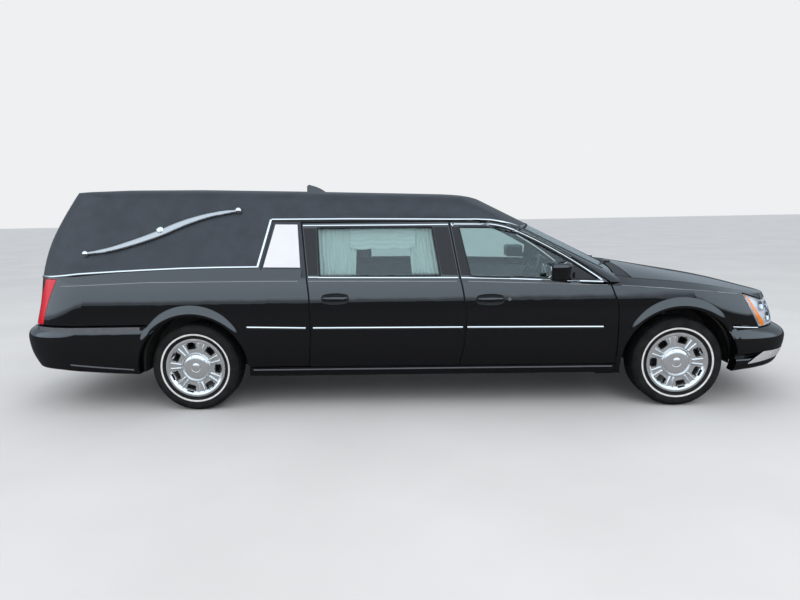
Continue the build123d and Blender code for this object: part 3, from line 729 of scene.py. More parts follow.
def ball(bm, centre, radius, scale=(1, 1, 1)):
    """Round knob."""
    matrix = Matrix.Translation(centre) @ Matrix.Diagonal((*scale, 1))
    bmesh.ops.create_uvsphere(bm, u_segments=20, v_segments=12, radius=radius, matrix=matrix)


def tube(bm, points, radius, segments=10):
    """Round bar along a run of points."""
    path = [Vector(p) for p in points]
    along = (path[-1] - path[0]).normalized()
    normal = UP if abs(along.z) < 0.8 else Vector((0, 1, 0))
    sweep(bm, path, [normal] * len(path), circle(radius, segments))


def thicken(piece, thickness):
    """Gives a sheet its thickness."""
    mod = piece.modifiers.new("thickness", "SOLIDIFY")
    mod.thickness, mod.offset = thickness, 0


def hang(name, bm):
    """Makes a curtain piece of a given gathered sheet, thickened, in place of the drapes node."""
    piece = finish_mesh(name, bm, "curtain")
    thicken(piece, CLOTH)
    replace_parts(piece, "drapes")


def stuffed(name, low, high, place, reach, fill):
    """Cushion swollen by cloth simulation and kept within a reach of its cut shape."""
    bm = bmesh.new()
    box(bm, low, high, 0.035, 3, place)
    piece = finish_mesh(name, bm, "leather")
    mesher = piece.modifiers.new("even", "REMESH")
    mesher.mode, mesher.voxel_size, mesher.use_smooth_shade = "VOXEL", VOXEL, True
    graph = bpy.context.evaluated_depsgraph_get()
    even = bpy.data.meshes.new_from_object(piece.evaluated_get(graph))
    piece.modifiers.clear()
    piece.data = even
    even.materials.clear()
    even.materials.append(M["leather"])
    start = [v.co.copy() for v in even.vertices]
    soft = piece.modifiers.new("stuffing", "CLOTH")
    soft.settings.use_pressure = True
    soft.settings.uniform_pressure_force = PRESSURE
    soft.settings.quality = 4
    soft.settings.effector_weights.gravity = 0
    soft.point_cache.frame_start, soft.point_cache.frame_end = 1, SWELL_STEPS
    for step in range(1, SWELL_STEPS + 1):
        bpy.context.scene.frame_set(step)
    graph = bpy.context.evaluated_depsgraph_get()
    swollen = [v.co.copy() for v in piece.evaluated_get(graph).data.vertices]
    piece.modifiers.clear()
    for v, a, b in zip(even.vertices, start, swollen):
        move = b - a
        v.co = a + move * min(1.0, reach / max(move.length, 1e-9))
    bpy.context.scene.frame_set(1)
    return piece


def channels(piece, lines, depth=0.007, width=0.012):
    """Presses sewn lines into a cushion: each line is a place across the car."""
    for v in piece.data.vertices:
        for line in lines:
            gap = abs(v.co.y - line)
            if gap < width:
                v.co -= v.normal * depth * (1 - gap / width) ** 2


# operators
class HEARSE_OT_stage(bpy.types.Operator):
    """Floor, lights, world and camera at the photograph's viewing angle"""
    bl_idname = "hearse.stage"
    bl_label = "Stage"

    def execute(self, context):
        scene = context.scene
        view = scene.hearse_view
        bm = bmesh.new()
        bmesh.ops.create_grid(bm, x_segments=1, y_segments=1, size=60)
        mesh = bpy.data.meshes.new("floor")
        bm.to_mesh(mesh)
        bm.free()
        floor = bpy.data.objects.new("floor", mesh)
        floor.location.z = -0.001
        scene.collection.objects.link(floor)
        parts = plain("pale_floor", (0.7, 0.69, 0.67), 0.85)
        mottle(parts, 0.7, (0.68, 0.67, 0.65), (0.73, 0.72, 0.7))
        dim_reflection(parts, 0.07)
        mesh.materials.append(parts[0])

        world = bpy.data.worlds.new("soft_sky")
        world.use_nodes = True
        nodes, links = world.node_tree.nodes, world.node_tree.links
        sky = nodes["Background"]
        (soft, white, coords, split, light, ramp, far, shift, join, pick, mix) = (
            nodes.new("ShaderNode" + kind) for kind in (
                "Background", "Background", "TexCoord", "SeparateXYZ", "LightPath", "ValToRGB",
                "ValToRGB", "Math", "Mix", "MixShader", "MixShader"))
        for node, color, strength in ((soft, (0.86, 0.9, 0.96, 1), 0.95),
                                      (white, (0.86, 0.87, 0.88, 1), 1.0)):
            node.inputs["Color"].default_value = color
            node.inputs["Strength"].default_value = strength
        sky.inputs["Strength"].default_value = 1.9
        shift.operation, shift.inputs[1].default_value = "ADD", 0.5
        join.data_type, join.blend_type = "RGBA", "MULTIPLY"
        join.inputs["Factor"].default_value = 1.0
        for node, tones in ((ramp, SKY_HEIGHT), (far, SKY_DEPTH)):
            stops = node.color_ramp.elements
            while len(stops) < len(tones):
                stops.new(0.5)
            for stop, (place, tone) in zip(stops, tones):
                stop.position = place
                stop.color = (*shade(SKY_TINT, tone), 1)
        wire(links, (coords, "Generated", split, "Vector"), (split, "Z", ramp, "Fac"),
             (split, "Y", shift, 0), (shift, "Value", far, "Fac"), (ramp, "Color", join, 6),
             (far, "Color", join, 7), (join, 2, sky, "Color"),
             (light, "Is Glossy Ray", pick, "Fac"), (soft, "Background", pick, 1),
             (sky, "Background", pick, 2), (light, "Is Camera Ray", mix, "Fac"),
             (pick, "Shader", mix, 1), (white, "Background", mix, 2),
             (mix, "Shader", nodes["World Output"], "Surface"))
        scene.world = world

        for name, place, size, power in (("key", (3.5, -7.5, 6.0), 6.0, 190),
                                         ("fill", (-6.0, -5.0, 5.0), 5.0, 80),
                                         ("top", (0.0, 1.0, 7.5), 7.0, 120)):
            lamp = bpy.data.lights.new(name, "AREA")
            lamp.energy, lamp.size = power, size
            obj = bpy.data.objects.new(name, lamp)
            obj.location = place
            obj.rotation_euler = (Vector((0, 0, 0.8)) - obj.location).to_track_quat(
                "-Z", "Y").to_euler()
            obj.visible_glossy = False
            scene.collection.objects.link(obj)

        cam = bpy.data.objects.new("camera", bpy.data.cameras.new("camera"))
        cam.data.sensor_fit = "HORIZONTAL"
        cam.data.sensor_width, cam.data.lens = 36, view.lens
        turn = (Matrix.Rotation(view.camera_yaw, 3, "Z")
                @ Matrix.Rotation(-view.camera_pitch, 3, "X")
                @ Matrix.Rotation(view.camera_roll, 3, "Y"))
        axes = Matrix((turn.col[0], turn.col[2], -turn.col[1])).transposed()
        cam.matrix_world = Matrix.Translation(view.camera_place) @ axes.to_4x4()
        cam.data.clip_end = 300
        scene.collection.objects.link(cam)
        scene.camera = cam
        scene.view_settings.view_transform = "Standard"
        return {"FINISHED"}


class HEARSE_OT_finishes(bpy.types.Operator):
    """Finishes of the pieces that keep their solid shape"""
    bl_idname = "hearse.finishes"
    bl_label = "Panel finishes"

    def execute(self, context):
        make_materials()
        for finish, names in CAD_FINISHES.items():
            for name in names:
                for item in NODES[name].material_slots:
                    item.link = "OBJECT"
                    item.material = M[finish]
        return {"FINISHED"}


class HEARSE_OT_brightwork(bpy.types.Operator):
    """Chrome belt, drip, door top and side mouldings, seals in the panel gaps"""
    bl_idname = "hearse.brightwork"
    bl_label = "Bright trim and seals"

    def execute(self, context):
        trim = context.scene.hearse_trim
        width = trim.belt_width
        belt, line = half_round(width, 0.006), half_round(trim.side_width, 0.009)
        # Profiles of the light crease stripe (pinstripe and painted highlight) and of the grey
        # painted edge highlights
        stripe, edge = half_round(0.006, 0.0012), half_round(0.012, 0.003)
        roof = tree_of("roof_shell", "windshield_frame")
        rear = tree_of("quarters", "roof_shell", "tail_lamps")
        for side, word in SIDES:
            front, back = tree_of(f"front_door_{word}"), tree_of(f"rear_door_{word}")
            front_body, back_body = f"door_front_{word}", f"door_rear_{word}"
            top = [p for p in grow(trace(FRONT_DOOR, 0.03), -0.016)
                   if p.y > 0.972 and (p.x > 0.52 or p.y > 1.4)]
            top.sort(key=lambda p: p.x)
            for name, points, tree, body, profile, finish in (
                    ("rear_door_belt", [(-0.684, 1.0395), (0.01, 1.028), (0.449, 1.021)], back,
                     back_body, belt, "chrome"),
                    ("front_door_belt", [(0.471, 1.0205), (0.886, 1.006), (1.524, 0.977)], front,
                     front_body, belt, "chrome"),
                    ("rear_door_top_line", [(-0.738, 1.424), (0.014, 1.416), (0.383, 1.413)],
                     back, back_body, belt, "chrome"),
                    ("front_door_top_line", top, front, front_body, belt, "chrome"),
                    ("roof_drip", DRIP, roof, "body", half_round(width + 0.002, 0.007), "chrome"),
                    ("roof_gutter", [(x, z - 0.0135) for x, z in DRIP[:6]], roof, "body",
                     flat_bar(0.011, 0.0015), "dark"),
                    ("quarter_line", [(-1.078, 1.118), (-0.99, 1.474)], roof, "body",
                     half_round(0.018, 0.007), "chrome"),
                    ("quarter_seam", [(-1.052, 1.095), (-0.968, 1.47)],
                     tree_of("roof_shell", "quarters"), "body", flat_bar(0.007, 0.001), "dark"),
                    ("rear_door_side_moulding", [(-0.655, 0.6555), (0.479, 0.6475)], back,
                     back_body, line, "chrome"),
                    ("front_door_side_moulding", [(0.513, 0.647), (1.53, 0.637)], front,
                     front_body, line, "chrome"),
                    ("quarter_side_moulding", [(-1.162, 0.6675), (-0.712, 0.656)], rear, "body",
                     line, "chrome"),
                    ("front_corner_line", [(2.5, 0.618), (2.72, 0.596)],
                     tree_of("front_bumper", "fenders", "headlamps"), "body",
                     half_round(0.014, 0.006), "chrome"),
                    # Crease stripes: a pinstripe that also paints the crease's highlight
                    ("quarter_stripe_highlight", [(-2.6, 1.0005), (-1.919, 1.021), (-1.103, 1.018),
                                           (-0.765, 1.0145)], rear, "body", stripe, "pinstripe"),
                    ("rear_door_stripe_highlight", [(-0.68, 1.013), (0.44, 0.9965)], back, back_body,
                     stripe, "pinstripe"),
                    ("front_door_pinstripe", [(0.475, 0.996), (1.053, 0.974), (1.56, 0.9525)],
                     front, front_body, stripe, "pinstripe"),
                    ("fender_stripe_highlight", [(1.66, 0.9475), (1.787, 0.9395), (2.274, 0.8975),
                                          (2.54, 0.8655)], tree_of("fenders"), "body", stripe,
                     "pinstripe"),
                    # Grey lines that paint the highlight of the rear bumper's crease and the
                    # rocker's top edge
                    ("rear_bumper_edge_highlight", [(-2.56, 0.388), (-2.3, 0.362), (-2.02, 0.338)],
                     tree_of("rear_bumper"), "body", edge, "band"),
                    ("rocker_edge_highlight", [(-1.14, 0.322), (0.2, 0.322), (1.62, 0.322)],
                     tree_of("rockers"), "body", edge, "band")):
                strip(f"{name}_{word}", side_rays(points, side), tree, profile, finish, body)
            rays = side_rays([(-1.078, 1.1205), (-1.382, 1.1215), (-1.656, 1.119),
                              (-1.932, 1.111), (-2.159, 1.103), (-2.457, 1.0895),
                              (-2.62, 1.075)], side)
            rays += corner_rays(range(1, 9), side, -2.66, 0.6, 1.071, 0.0015)
            strip(f"quarter_belt_{word}", rays, rear, half_round(width + 0.004, 0.008), "chrome")
            rays = side_rays([(-1.99, 0.66), (-2.6, 0.66)], side)
            rays += corner_rays(range(10), side, -2.62, 0.5, 0.66)
            rays.append((Vector((BEHIND, 0.001 * side, 0.66)), Vector((1, 0, 0))))
            strip(f"rear_bumper_band_{word}", rays, tree_of("rear_bumper"),
                  flat_bar(0.04, 0.0025), "band")
            for name, outline, window, tree, body in (
                    ("front_door", FRONT_DOOR, FRONT_WINDOW, front, front_body),
                    ("rear_door", REAR_DOOR, REAR_WINDOW, back, back_body)):
                run = trace(outline, 0.03)
                path, normals = [], []
                for near, mid in zip(grow(run, -0.014), grow(run, 0.0065)):
                    place, normal = on_side(tree, near.x, near.y, side)
                    if place is None:
                        continue
                    normal = normal if normal.y * side > 0 else -normal
                    path.append(Vector((mid.x, place.y, mid.y)) - normal * 0.016)
                    normals.append(normal)
                bm = bmesh.new()
                sweep(bm, path, normals, flat_bar(0.009, 0.004, 0.006), True)
                finish_mesh(f"{name}_seal_{word}", bm, "dark")
                rays = [(Vector((p.x, side * BESIDE, p.y)), Vector((0, -side, 0)))
                        for p in grow(trace(window, 0.03), 0.005)]
                strip(f"{name}_window_rubber_{word}", rays, tree,
                      flat_bar(0.013, 0.0015, 0.012), "dark", body, True)
            for name, corners, tree, body in (
                    ("rear_pillar_cover", [(0.327, 1.046), (0.447, 1.042), (0.384, 1.398),
                                           (0.268, 1.4)], back, back_body),
                    ("front_pillar_cover", [(0.472, 1.04), (0.535, 1.038), (0.461, 1.396),
                                            (0.41, 1.398)], front, front_body),
                    ("quarter_pillar_cover", [(-0.685, 1.055), (-0.612, 1.054), (-0.638, 1.404),
                                              (-0.735, 1.405)], back, back_body),
                    ("mirror_corner", [(1.25, 1.002), (1.48, 0.994), (1.268, 1.14), (1.25, 1.15)],
                     tree_of(f"front_door_{word}", f"front_door_glass_{word}"), front_body)):
                patch(f"{name}_{word}", corners, side, tree, "pillar", body)
            front_bezel(f"front_bezel_{word}", side, tree_of("front_bumper"))
            bm = bmesh.new()
            verts = [bm.verts.new((FRONT_AXLE + FRONT_ARCH + 0.002, y, ARCH_Z))
                     for y in sorted((side * 0.766, side * 0.86))]
            bmesh.ops.spin(bm, geom=verts + [bm.edges.new(verts)], cent=(FRONT_AXLE, 0, ARCH_Z),
                           axis=(0, -1, 0), angle=radians(180), steps=36)
            thicken(finish_mesh(f"front_arch_shield_{word}", bm, "underbody"), 0.003)
            flare(f"front_flare_{word}", FRONT_AXLE, FRONT_ARCH, (-2, 166), side,
                  tree_of("fenders", "front_bumper"))
            flare(f"rear_flare_{word}", REAR_AXLE, REAR_ARCH, (2, 168), side,
                  tree_of("quarters", "rear_bumper"))
        return {"FINISHED"}


class HEARSE_OT_landau_bars(bpy.types.Operator):
    """Chromed landau bars with their knobs"""
    bl_idname = "hearse.landau_bars"
    bl_label = "Landau bars"

    def execute(self, context):
        bows, knobs = bmesh.new(), bmesh.new()
        roof = tree_of("roof_shell")
        line = curve_through([(x, 0, z) for x, z in LANDAU_LINE], 5)
        for side, _ in SIDES:
            path, normals, rings = [], [], []
            for i, p in enumerate(line):
                place, normal = on_side(roof, p.x, p.z, side)
                path.append(place + normal * 0.017)
                normals.append(normal)
                wide = 0.0115 + 0.017 * sin(pi * i / (len(line) - 1)) ** 1.5
                rings.append([(x * wide, y * 0.008) for x, y in circle(1, 12)])
            sweep(bows, path, normals, rings)
            for x, z, size in ((-2.421, 1.236, 0.025), (-1.246, 1.545, 0.026)):
                place, normal = on_side(roof, x, z, side)
                ball(knobs, place + normal * 0.014, size, (1, 0.8, 1))
            lathe(knobs, [(0, 0.03), (0.012, 0.029), (0.015, 0.026), (0.02, 0.026),
                          (0.023, 0.029), (0.027, 0.026), (0.029, 0.018), (0.028, 0.002),
                          (0.024, -0.003)], facing(*on_side(roof, -1.85, 1.405, side)), 32)
        for name, form, finish in (("landau_bows", bows, "brushed"),
                                   ("landau_knobs", knobs, "chrome")):
            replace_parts(finish_mesh(name, form, finish), "landau_bars")
        return {"FINISHED"}


class HEARSE_OT_lamps(bpy.types.Operator):
    """Headlamps with reflectors and amber strip, ribbed tail lamps"""
    bl_idname = "hearse.lamps"
    bl_label = "Lamps"

    def execute(self, context):
        for node, middle, deep, outer, inner, slot in (
                ("headlamps", 2.2, 0.021, "lens", "reflector", "lamp_clear"),
                ("tail_lamps", -2.3, 0.008, "red", "red_depth", "lamp_red")):
            def away(co):
                """Level direction out of the middle of the lamps."""
                return Vector((co.x - middle, co.y, 0)).normalized()

            def outward(face):
                """Whether a face looks out of the car."""
                level = face.normal.dot(away(face.calc_center_median()))
                return level > 0.25 and abs(face.normal.z) < 0.75
            lens, housing = solids(node), solids(node)
            for form in (lens, housing):
                bmesh.ops.remove_doubles(form, verts=form.verts, dist=MERGE)
                form.normal_update()
                bmesh.ops.delete(form, geom=[f for f in form.faces if not outward(f)],
                                 context="FACES")
            for v in housing.verts:
                v.co -= away(v.co) * deep
            wall = bmesh.ops.extrude_edge_only(
                housing, edges=[e for e in housing.edges if e.is_boundary])
            for v in new_verts(wall):
                v.co += away(v.co) * (deep - 0.005)
            bmesh.ops.recalc_face_normals(housing, faces=housing.faces)
            for name, form, finish, thickness in (("lens", lens, outer, 0.003),
                                                  ("housing", housing, inner, 0.001)):
                bmesh.ops.solidify(form, geom=form.faces[:], thickness=thickness)
                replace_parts(finish_mesh(f"{node}_{name}", form, finish, "body", True), node)
        bowls, bulbs, rings, amber = (bmesh.new() for _ in range(4))
        skin = tree_of("headlamps", "fenders", "front_bumper", "hood")
        for side, _ in SIDES:
            for y, z, r in ((0.8, 0.757, 0.034), (0.765, 0.665, 0.036), (0.7, 0.742, 0.037),
                            (0.66, 0.66, 0.034), (0.575, 0.703, 0.05)):
                hit, aim = hit_of(skin, (3.4, side * y, z), (-1, 0, 0), "headlamp bowls")
                place = facing(hit - aim * 0.017, aim)
                lathe(bowls, [(0.0, -0.001), (r * 0.4, 0.0), (r * 0.7, 0.003), (r * 0.92, 0.008),
                              (r, 0.01), (r + 0.003, 0.01), (r + 0.003, -0.012)], place, 32)
                lathe(rings, [(r + 0.0025, 0.009), (r + 0.0025, 0.0115), (r + 0.005, 0.0115),
                              (r + 0.005, 0.006)], place, 32)
                lathe(bulbs, [(0, 0.01), (r * 0.22, 0.008), (r * 0.32, 0.004), (r * 0.34, -0.002)],
                      place, 20)
            edge = [(2.6, 0.85, 0.012), (2.65, 0.77, 0.02), (2.7, 0.686, 0.03), (2.745, 0.612, 0.04)]
            for (x0, z0, w0), (x1, z1, w1) in zip(edge, edge[1:]):
                def marker(s, t):
                    """Place of a point of the side marker on the lens."""
                    wide = w0 + (w1 - w0) * t
                    x = x0 + (x1 - x0) * t + 0.006 + wide * s * 1.2
                    place = on_side(skin, x, z0 + (z1 - z0) * t, side)[0]
                    return place + Vector((0, side * 0.0008, 0))
                grid((3, 4), marker, amber)
        for name, form, finish in (("bowls", bowls, "mirror_bowl"), ("rings", rings, "band"),
                                   ("bulbs", bulbs, "plate"), ("side_markers", amber, "amber")):
            finish_mesh(f"headlamp_{name}", form, finish, "body")
        return {"FINISHED"}


class HEARSE_OT_wheels(bpy.types.Operator):
    """Tyres with tread and white line, ribbed rims and caps"""
    bl_idname = "hearse.wheels"
    bl_label = "Wheels"

    def execute(self, context):
        trim = context.scene.hearse_trim
        steps = trim.tread_blocks * 2
        r1 = trim.whitewall_radius
        r0 = r1 - trim.whitewall_width
        outer = [(0.223, 0.098), (0.237, 0.1), (0.246, 0.1055), (r0 - 0.001, 0.1105),
                 (r0, 0.1122), (r1, 0.1142), (r1 + 0.001, 0.113), (0.29, 0.1168),
                 (0.303, 0.1165), (0.307, 0.1155), (0.3085, 0.1165), (0.318, 0.1145),
                 (0.321, 0.1115), (0.328, 0.106), (0.335, 0.1), (0.3395, 0.0925),
                 (0.3415, 0.085)]
        tread = []
        for centre in (0.056, 0.019, -0.019, -0.056):
            tread += [(0.342, centre + 0.0055), (0.335, centre + 0.004), (0.335, centre - 0.004),
                      (0.342, centre - 0.0055)]
        inner = [(r, -a) for r, a in reversed(outer) if not r0 - 0.002 < r < r1 + 0.002]
        for axle, x in AXLES:
            phase = 22.1 if axle == "rear" else 0
            for side, word in SIDES:
                place = placed(x, side * TRACK_HALF, HUB_Z, 0 if side > 0 else 180)
                body = f"spin_{axle}_{word}"
                bm = bmesh.new()
                lathe(bm, outer + tread + inner, None, steps)
                bm.normal_update()
                shoulder, crown = [], []
                for face in bm.faces:
                    c = face.calc_center_median()
                    flat = Vector((c.x, c.z))
                    r, wide = flat.length, abs(c.y)
                    if r0 <= r <= r1 and c.y > 0:
                        face.material_index = 1
                    step = round((flat.angle_signed(Vector((1, 0))) + pi) / (2 * pi) * steps - 0.5)
                    if 0.3375 < r < 0.3418 and wide > 0.083 and step % 2 == 0:
                        shoulder.append(face)
                    if r > 0.3405 and wide < 0.083 and step % 2 == 1:
                        crown.append(face)
                for group, depth in ((shoulder, -0.005), (crown, -0.004)):
                    bmesh.ops.inset_individual(bm, faces=group, thickness=0.0018, depth=0)
                    bmesh.ops.inset_individual(bm, faces=group, thickness=0.0004, depth=depth)
                bmesh.ops.recalc_face_normals(bm, faces=bm.faces)
                bmesh.ops.transform(bm, matrix=place, verts=bm.verts)
                piece = finish_mesh(f"tyre_{axle}_{word}_tread", bm, ("tyre", "white_rubber"), body)
                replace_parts(piece, f"tyre_{axle}_{word}")

                bm, liners = bmesh.new(), bmesh.new()
                for k in range(7):
                    for shift in (-6.5, 6.5):
                        turn = Matrix.Rotation(radians((k + 0.5) * 360 / 7 + shift + phase), 4, "Y")
                        box(bm, (0.118, 0.086, -0.0065), (0.207, 0.0975, 0.0065), 0.004, 3, turn)
                lathe(bm, [(0.1125, 0.086), (0.1125, 0.0945), (0.109, 0.0985), (0.1045, 0.098),
                           (0.1025, 0.0945), (0.1025, 0.086)], None, 64)
                lathe(bm, [(0.0, 0.0975), (0.03, 0.0972), (0.034, 0.0955), (0.036, 0.0955),
                           (0.038, 0.0968), (0.07, 0.0955), (0.092, 0.0925), (0.101, 0.0885)],
                      None, 64)
                lathe(bm, [(0.2125, 0.0985), (0.2145, 0.1065), (0.222, 0.1075), (0.227, 0.1035),
                           (0.2265, 0.0985)], None, 72)
                for k in range(5):
                    lathe(bm, [(0, 0.0935), (0.006, 0.0935), (0.008, 0.091), (0.008, 0.084)],
                          Matrix.Rotation(radians(72 * k), 4, "Y") @ placed(0.0875, 0, 0), 6)
                # Matte dark rings round each wheel window: painted shade that makes the windows look
                # wider and deeper than the cut holes
                edge = between([(0.15, 0.0885, -0.026), (0.15, 0.0885, 0.026),
                                (0.206, 0.0925, 0.0385), (0.206, 0.0925, -0.0385),
                                (0.15, 0.0885, -0.026)], 0.03)[:-1]
                for k in range(7):
                    turn = Matrix.Rotation(radians(k * 360 / 7 + phase), 3, "Y")
                    sweep(liners, [turn @ p for p in edge], [Vector((0, 1, 0))] * len(edge),
                          flat_bar(0.0075, 0.0008, 0.024, 0.0004), True)
                for name, form, finish in (("ribs", bm, "rim"), ("window_liners", liners, "dark")):
                    bmesh.ops.transform(form, matrix=place, verts=form.verts)
                    finish_mesh(f"wheel_{axle}_{word}_{name}", form, finish, body)
        return {"FINISHED"}


class HEARSE_OT_curtains(bpy.types.Operator):
    """Pleated drapes and swagged valance inside the rear door windows"""
    bl_idname = "hearse.curtains"
    bl_label = "Curtains"

    def execute(self, context):
        for side, word in SIDES:
            def depth(z):
                """Side of the cloth at a height, from the window's inner line."""
                half = 0.852 - (z - 1.04) * (0.852 - 0.693) / 0.372
                return side * (half - 0.011)
            for k, (*corners, pleats) in enumerate((
                    ((-0.612, 1.046), (-0.33, 1.046), (-0.318, 1.388), (-0.636, 1.398), 9),
                    ((0.1, 1.046), (0.324, 1.042), (0.272, 1.388), (0.07, 1.388), 7))):
                p, q, r, s = (Vector(corner) for corner in corners)

                def pleated(u, t):
                    """Place of a point of a drape."""
                    w = u + 0.012 * sin(9 * u + 4 * t) + 0.006 * sin(23 * u - 7 * t)
                    at = p.lerp(q, w).lerp(s.lerp(r, w), t)
                    fold = sin(2 * pi * pleats * u) * (0.0085 - 0.002 * t)
                    fold += 0.0018 * sin(2 * pi * (pleats * 2.3 * u + t))
                    return Vector((at.x, depth(at.y) + side * fold, at.y))
                hang(f"drape_{k}_{word}", grid((pleats * 10, 26), pleated))

            def swagged(u, t):
                """Place of a point of the valance."""
                t = 1 - t
                x = -0.378 + u * 0.51
                swag = (2 * u - 1) ** 2
                scallop = 1 - (2 * (u * 3.0 % 1.0) - 1) ** 2
                top = 1.397 - 0.005 * u
                low = 1.252 - 0.012 * scallop - 0.012 * (1 - swag)
                z = top + (low - top) * t + 0.03 * swag * t * (1 - t) * 2
                fold = 0.0085 * sin(2 * pi * (4.6 * t - 0.8 * swag)) * min(1, t * 3) * (1 - t ** 6)
                fold += 0.004 * sin(2 * pi * 20 * u) * (max(0, 1 - t * 4) + max(0, t * 3 - 2))
                return Vector((x, depth(z) + side * (0.0105 + fold * 0.6), z))
            hang(f"valance_{word}", grid((90, 30), swagged))
        return {"FINISHED"}


class HEARSE_OT_doors(bpy.types.Operator):
    """Door handles, locks, mirror glass and the inner panels of the side doors"""
    bl_idname = "hearse.doors"
    bl_label = "Doors"

    def execute(self, context):
        for side, word in SIDES:
            front_body = f"door_front_{word}"
            build(f"mirror_glass_{word}", "mirror_bowl", [
                (box, (1.087, side * 0.992, 1.03), (1.0935, side * 1.158, 1.12), 0.0028)],
                front_body)
            build(f"mirror_rim_{word}", "plastic", [
                (box, (1.0895, side * 0.984, 1.022), (1.096, side * 1.166, 1.128), 0.002)],
                front_body)
            for name, x, z in (("front_door", 0.686, 0.8565), ("rear_door", -0.482, 0.8775)):
                body, tree = f"door_{name[:-5]}_{word}", tree_of(f"{name}_{word}")
                # The handle recess is a matte dark dish laid on the door skin: painted shade in
                # place of a hollow that is not cut
                pill(f"{name}_handle_recess_shade_{word}", (x, z), (0.21, 0.086), side, tree, "dark",
                     body, lambda r: 0.0008 + 0.004 * r ** 6, 0.006)
                pill(f"{name}_handle_{word}", (x + 0.004, z + 0.002), (0.186, 0.036), side, tree,
                     "paint", body, lambda r: 0.021 - 0.013 * r ** 4, 0.004)
                feet = []
                for foot in (x - 0.082, x + 0.082):
                    y = on_side(tree, foot, z, side)[0].y
                    feet.append((box, (foot - 0.011, y - side * 0.002, z - 0.011),
                                 (foot + 0.011, y + side * 0.015, z + 0.013), 0.003))
                build(f"{name}_handle_feet_{word}", "paint", feet, body)
            place = on_side(tree_of(f"front_door_{word}"), 0.83, 0.858, side)[0]
            build(f"front_door_lock_{word}", "band", [
                (lathe, [(0, 0.002), (0.006, 0.002), (0.0085, 0.0045), (0.0125, 0.0045),
                         (0.0135, 0.002), (0.0135, -0.002)],
                 facing(place, Vector((0, side, 0))), 28)], front_body)
            for name, corners, x0, x1, pull, speaker in (
                    ("front_door", [(0.57, 0.42), (1.55, 0.42), (1.5, 0.92), (0.55, 0.97)],
                     0.66, 1.22, 1.28, 1.36),
                    ("rear_door", [(-0.64, 0.42), (0.4, 0.42), (0.37, 0.98), (-0.62, 0.98)],
                     -0.5, 0.1, 0.16, -0.4)):
                body = f"door_{name[:-5]}_{word}"
                patch(f"{name}_inner_panel_{word}", corners, -side, tree_of(f"{name}_{word}"),
                      "trim", body, 0.012, (18, 12), 0.006, 0.0)
                build(f"{name}_armrest_{word}", "leather", [
                    (box, (x0, side * 0.878, 0.7), (x1, side * 0.822, 0.755), 0.016, 4)], body)
                build(f"{name}_wood_strip_{word}", "walnut", [
                    (box, (x0 - 0.03, side * 0.874, 0.79), (x1 + 0.14, side * 0.866, 0.833),
                     0.003)], body)
                build(f"{name}_inner_handle_{word}", "chrome", [
                    (box, (pull, side * 0.868, 0.845), (pull + 0.1, side * 0.85, 0.87), 0.006,
                     3)], body)
                build(f"{name}_speaker_{word}", "plastic", [
                    (lathe, [(0, 0.004), (0.03, 0.002), (0.06, 0.004), (0.066, 0.008),
                             (0.072, 0.006), (0.073, -0.004)],
                     placed(speaker, side * 0.878, 0.56, 0 if side < 0 else 180), 40)], body)
        return {"FINISHED"}


class HEARSE_OT_seats(bpy.types.Operator):
    """Two front seats with stuffed cushions, backs and headrests"""
    bl_idname = "hearse.seats"
    bl_label = "Seats"

    def execute(self, context):
        for side, word in SIDES:
            y = side * 0.4
            lean = placed(0.575, y, 0.63, -17, "Y")
            parts = [stuffed(f"seat_{name}_{word}", low, high, place, reach, fill)
                     for name, low, high, place, reach, fill in (
                         ("cushion", (0.56, y - 0.235, 0.54), (1.085, y + 0.235, 0.635), None,
                          0.024, 0.8),
                         ("back", (-0.045, -0.23, 0.0), (0.05, 0.23, 0.51), lean, 0.024, 0.8),
                         ("headrest", (0.415, y - 0.115, 1.195), (0.475, y + 0.115, 1.315), None,
                          0.014, 0.9))]
            for piece in parts[:2]:
                channels(piece, (y - 0.15, y - 0.05, y + 0.05, y + 0.15))
            for piece in parts:
                fine = piece.modifiers.new("fine", "SUBSURF")
                fine.levels = fine.render_levels = 1
                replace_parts(piece, "seats")
            build(f"seat_welt_{word}", "leather", [
                (tube, [(0.57, y + edge, 0.588), (0.8, y + edge * 1.01, 0.59),
                        (1.08, y + edge, 0.588)], 0.004, 8) for edge in (-0.243, 0.243)])
            posts = [(rod, (0.447, y + edge, 1.09), (0.447, y + edge, 1.22), 0.006, 14)
                     for edge in (-0.05, 0.05)]
            for edge in (-0.2, 0.2):
                posts += [
                    (box, (0.56, y + edge - 0.02, 0.334), (1.06, y + edge + 0.02, 0.352), 0.004),
                    (box, (0.6, y + edge - 0.012, 0.352), (1.02, y + edge + 0.012, 0.38), 0.004)]
            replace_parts(build(f"seat_frame_{word}", "iron", posts), "seats")
            edge = y + side * 0.226
            build(f"seat_skirt_{word}", "plastic", [
                (box, (0.58, y - 0.215, 0.375), (1.06, y + 0.215, 0.53), 0.022, 3),
                (box, (0.6, edge, 0.44), (0.98, edge + side * 0.022, 0.53), 0.008, 3)])
        return {"FINISHED"}


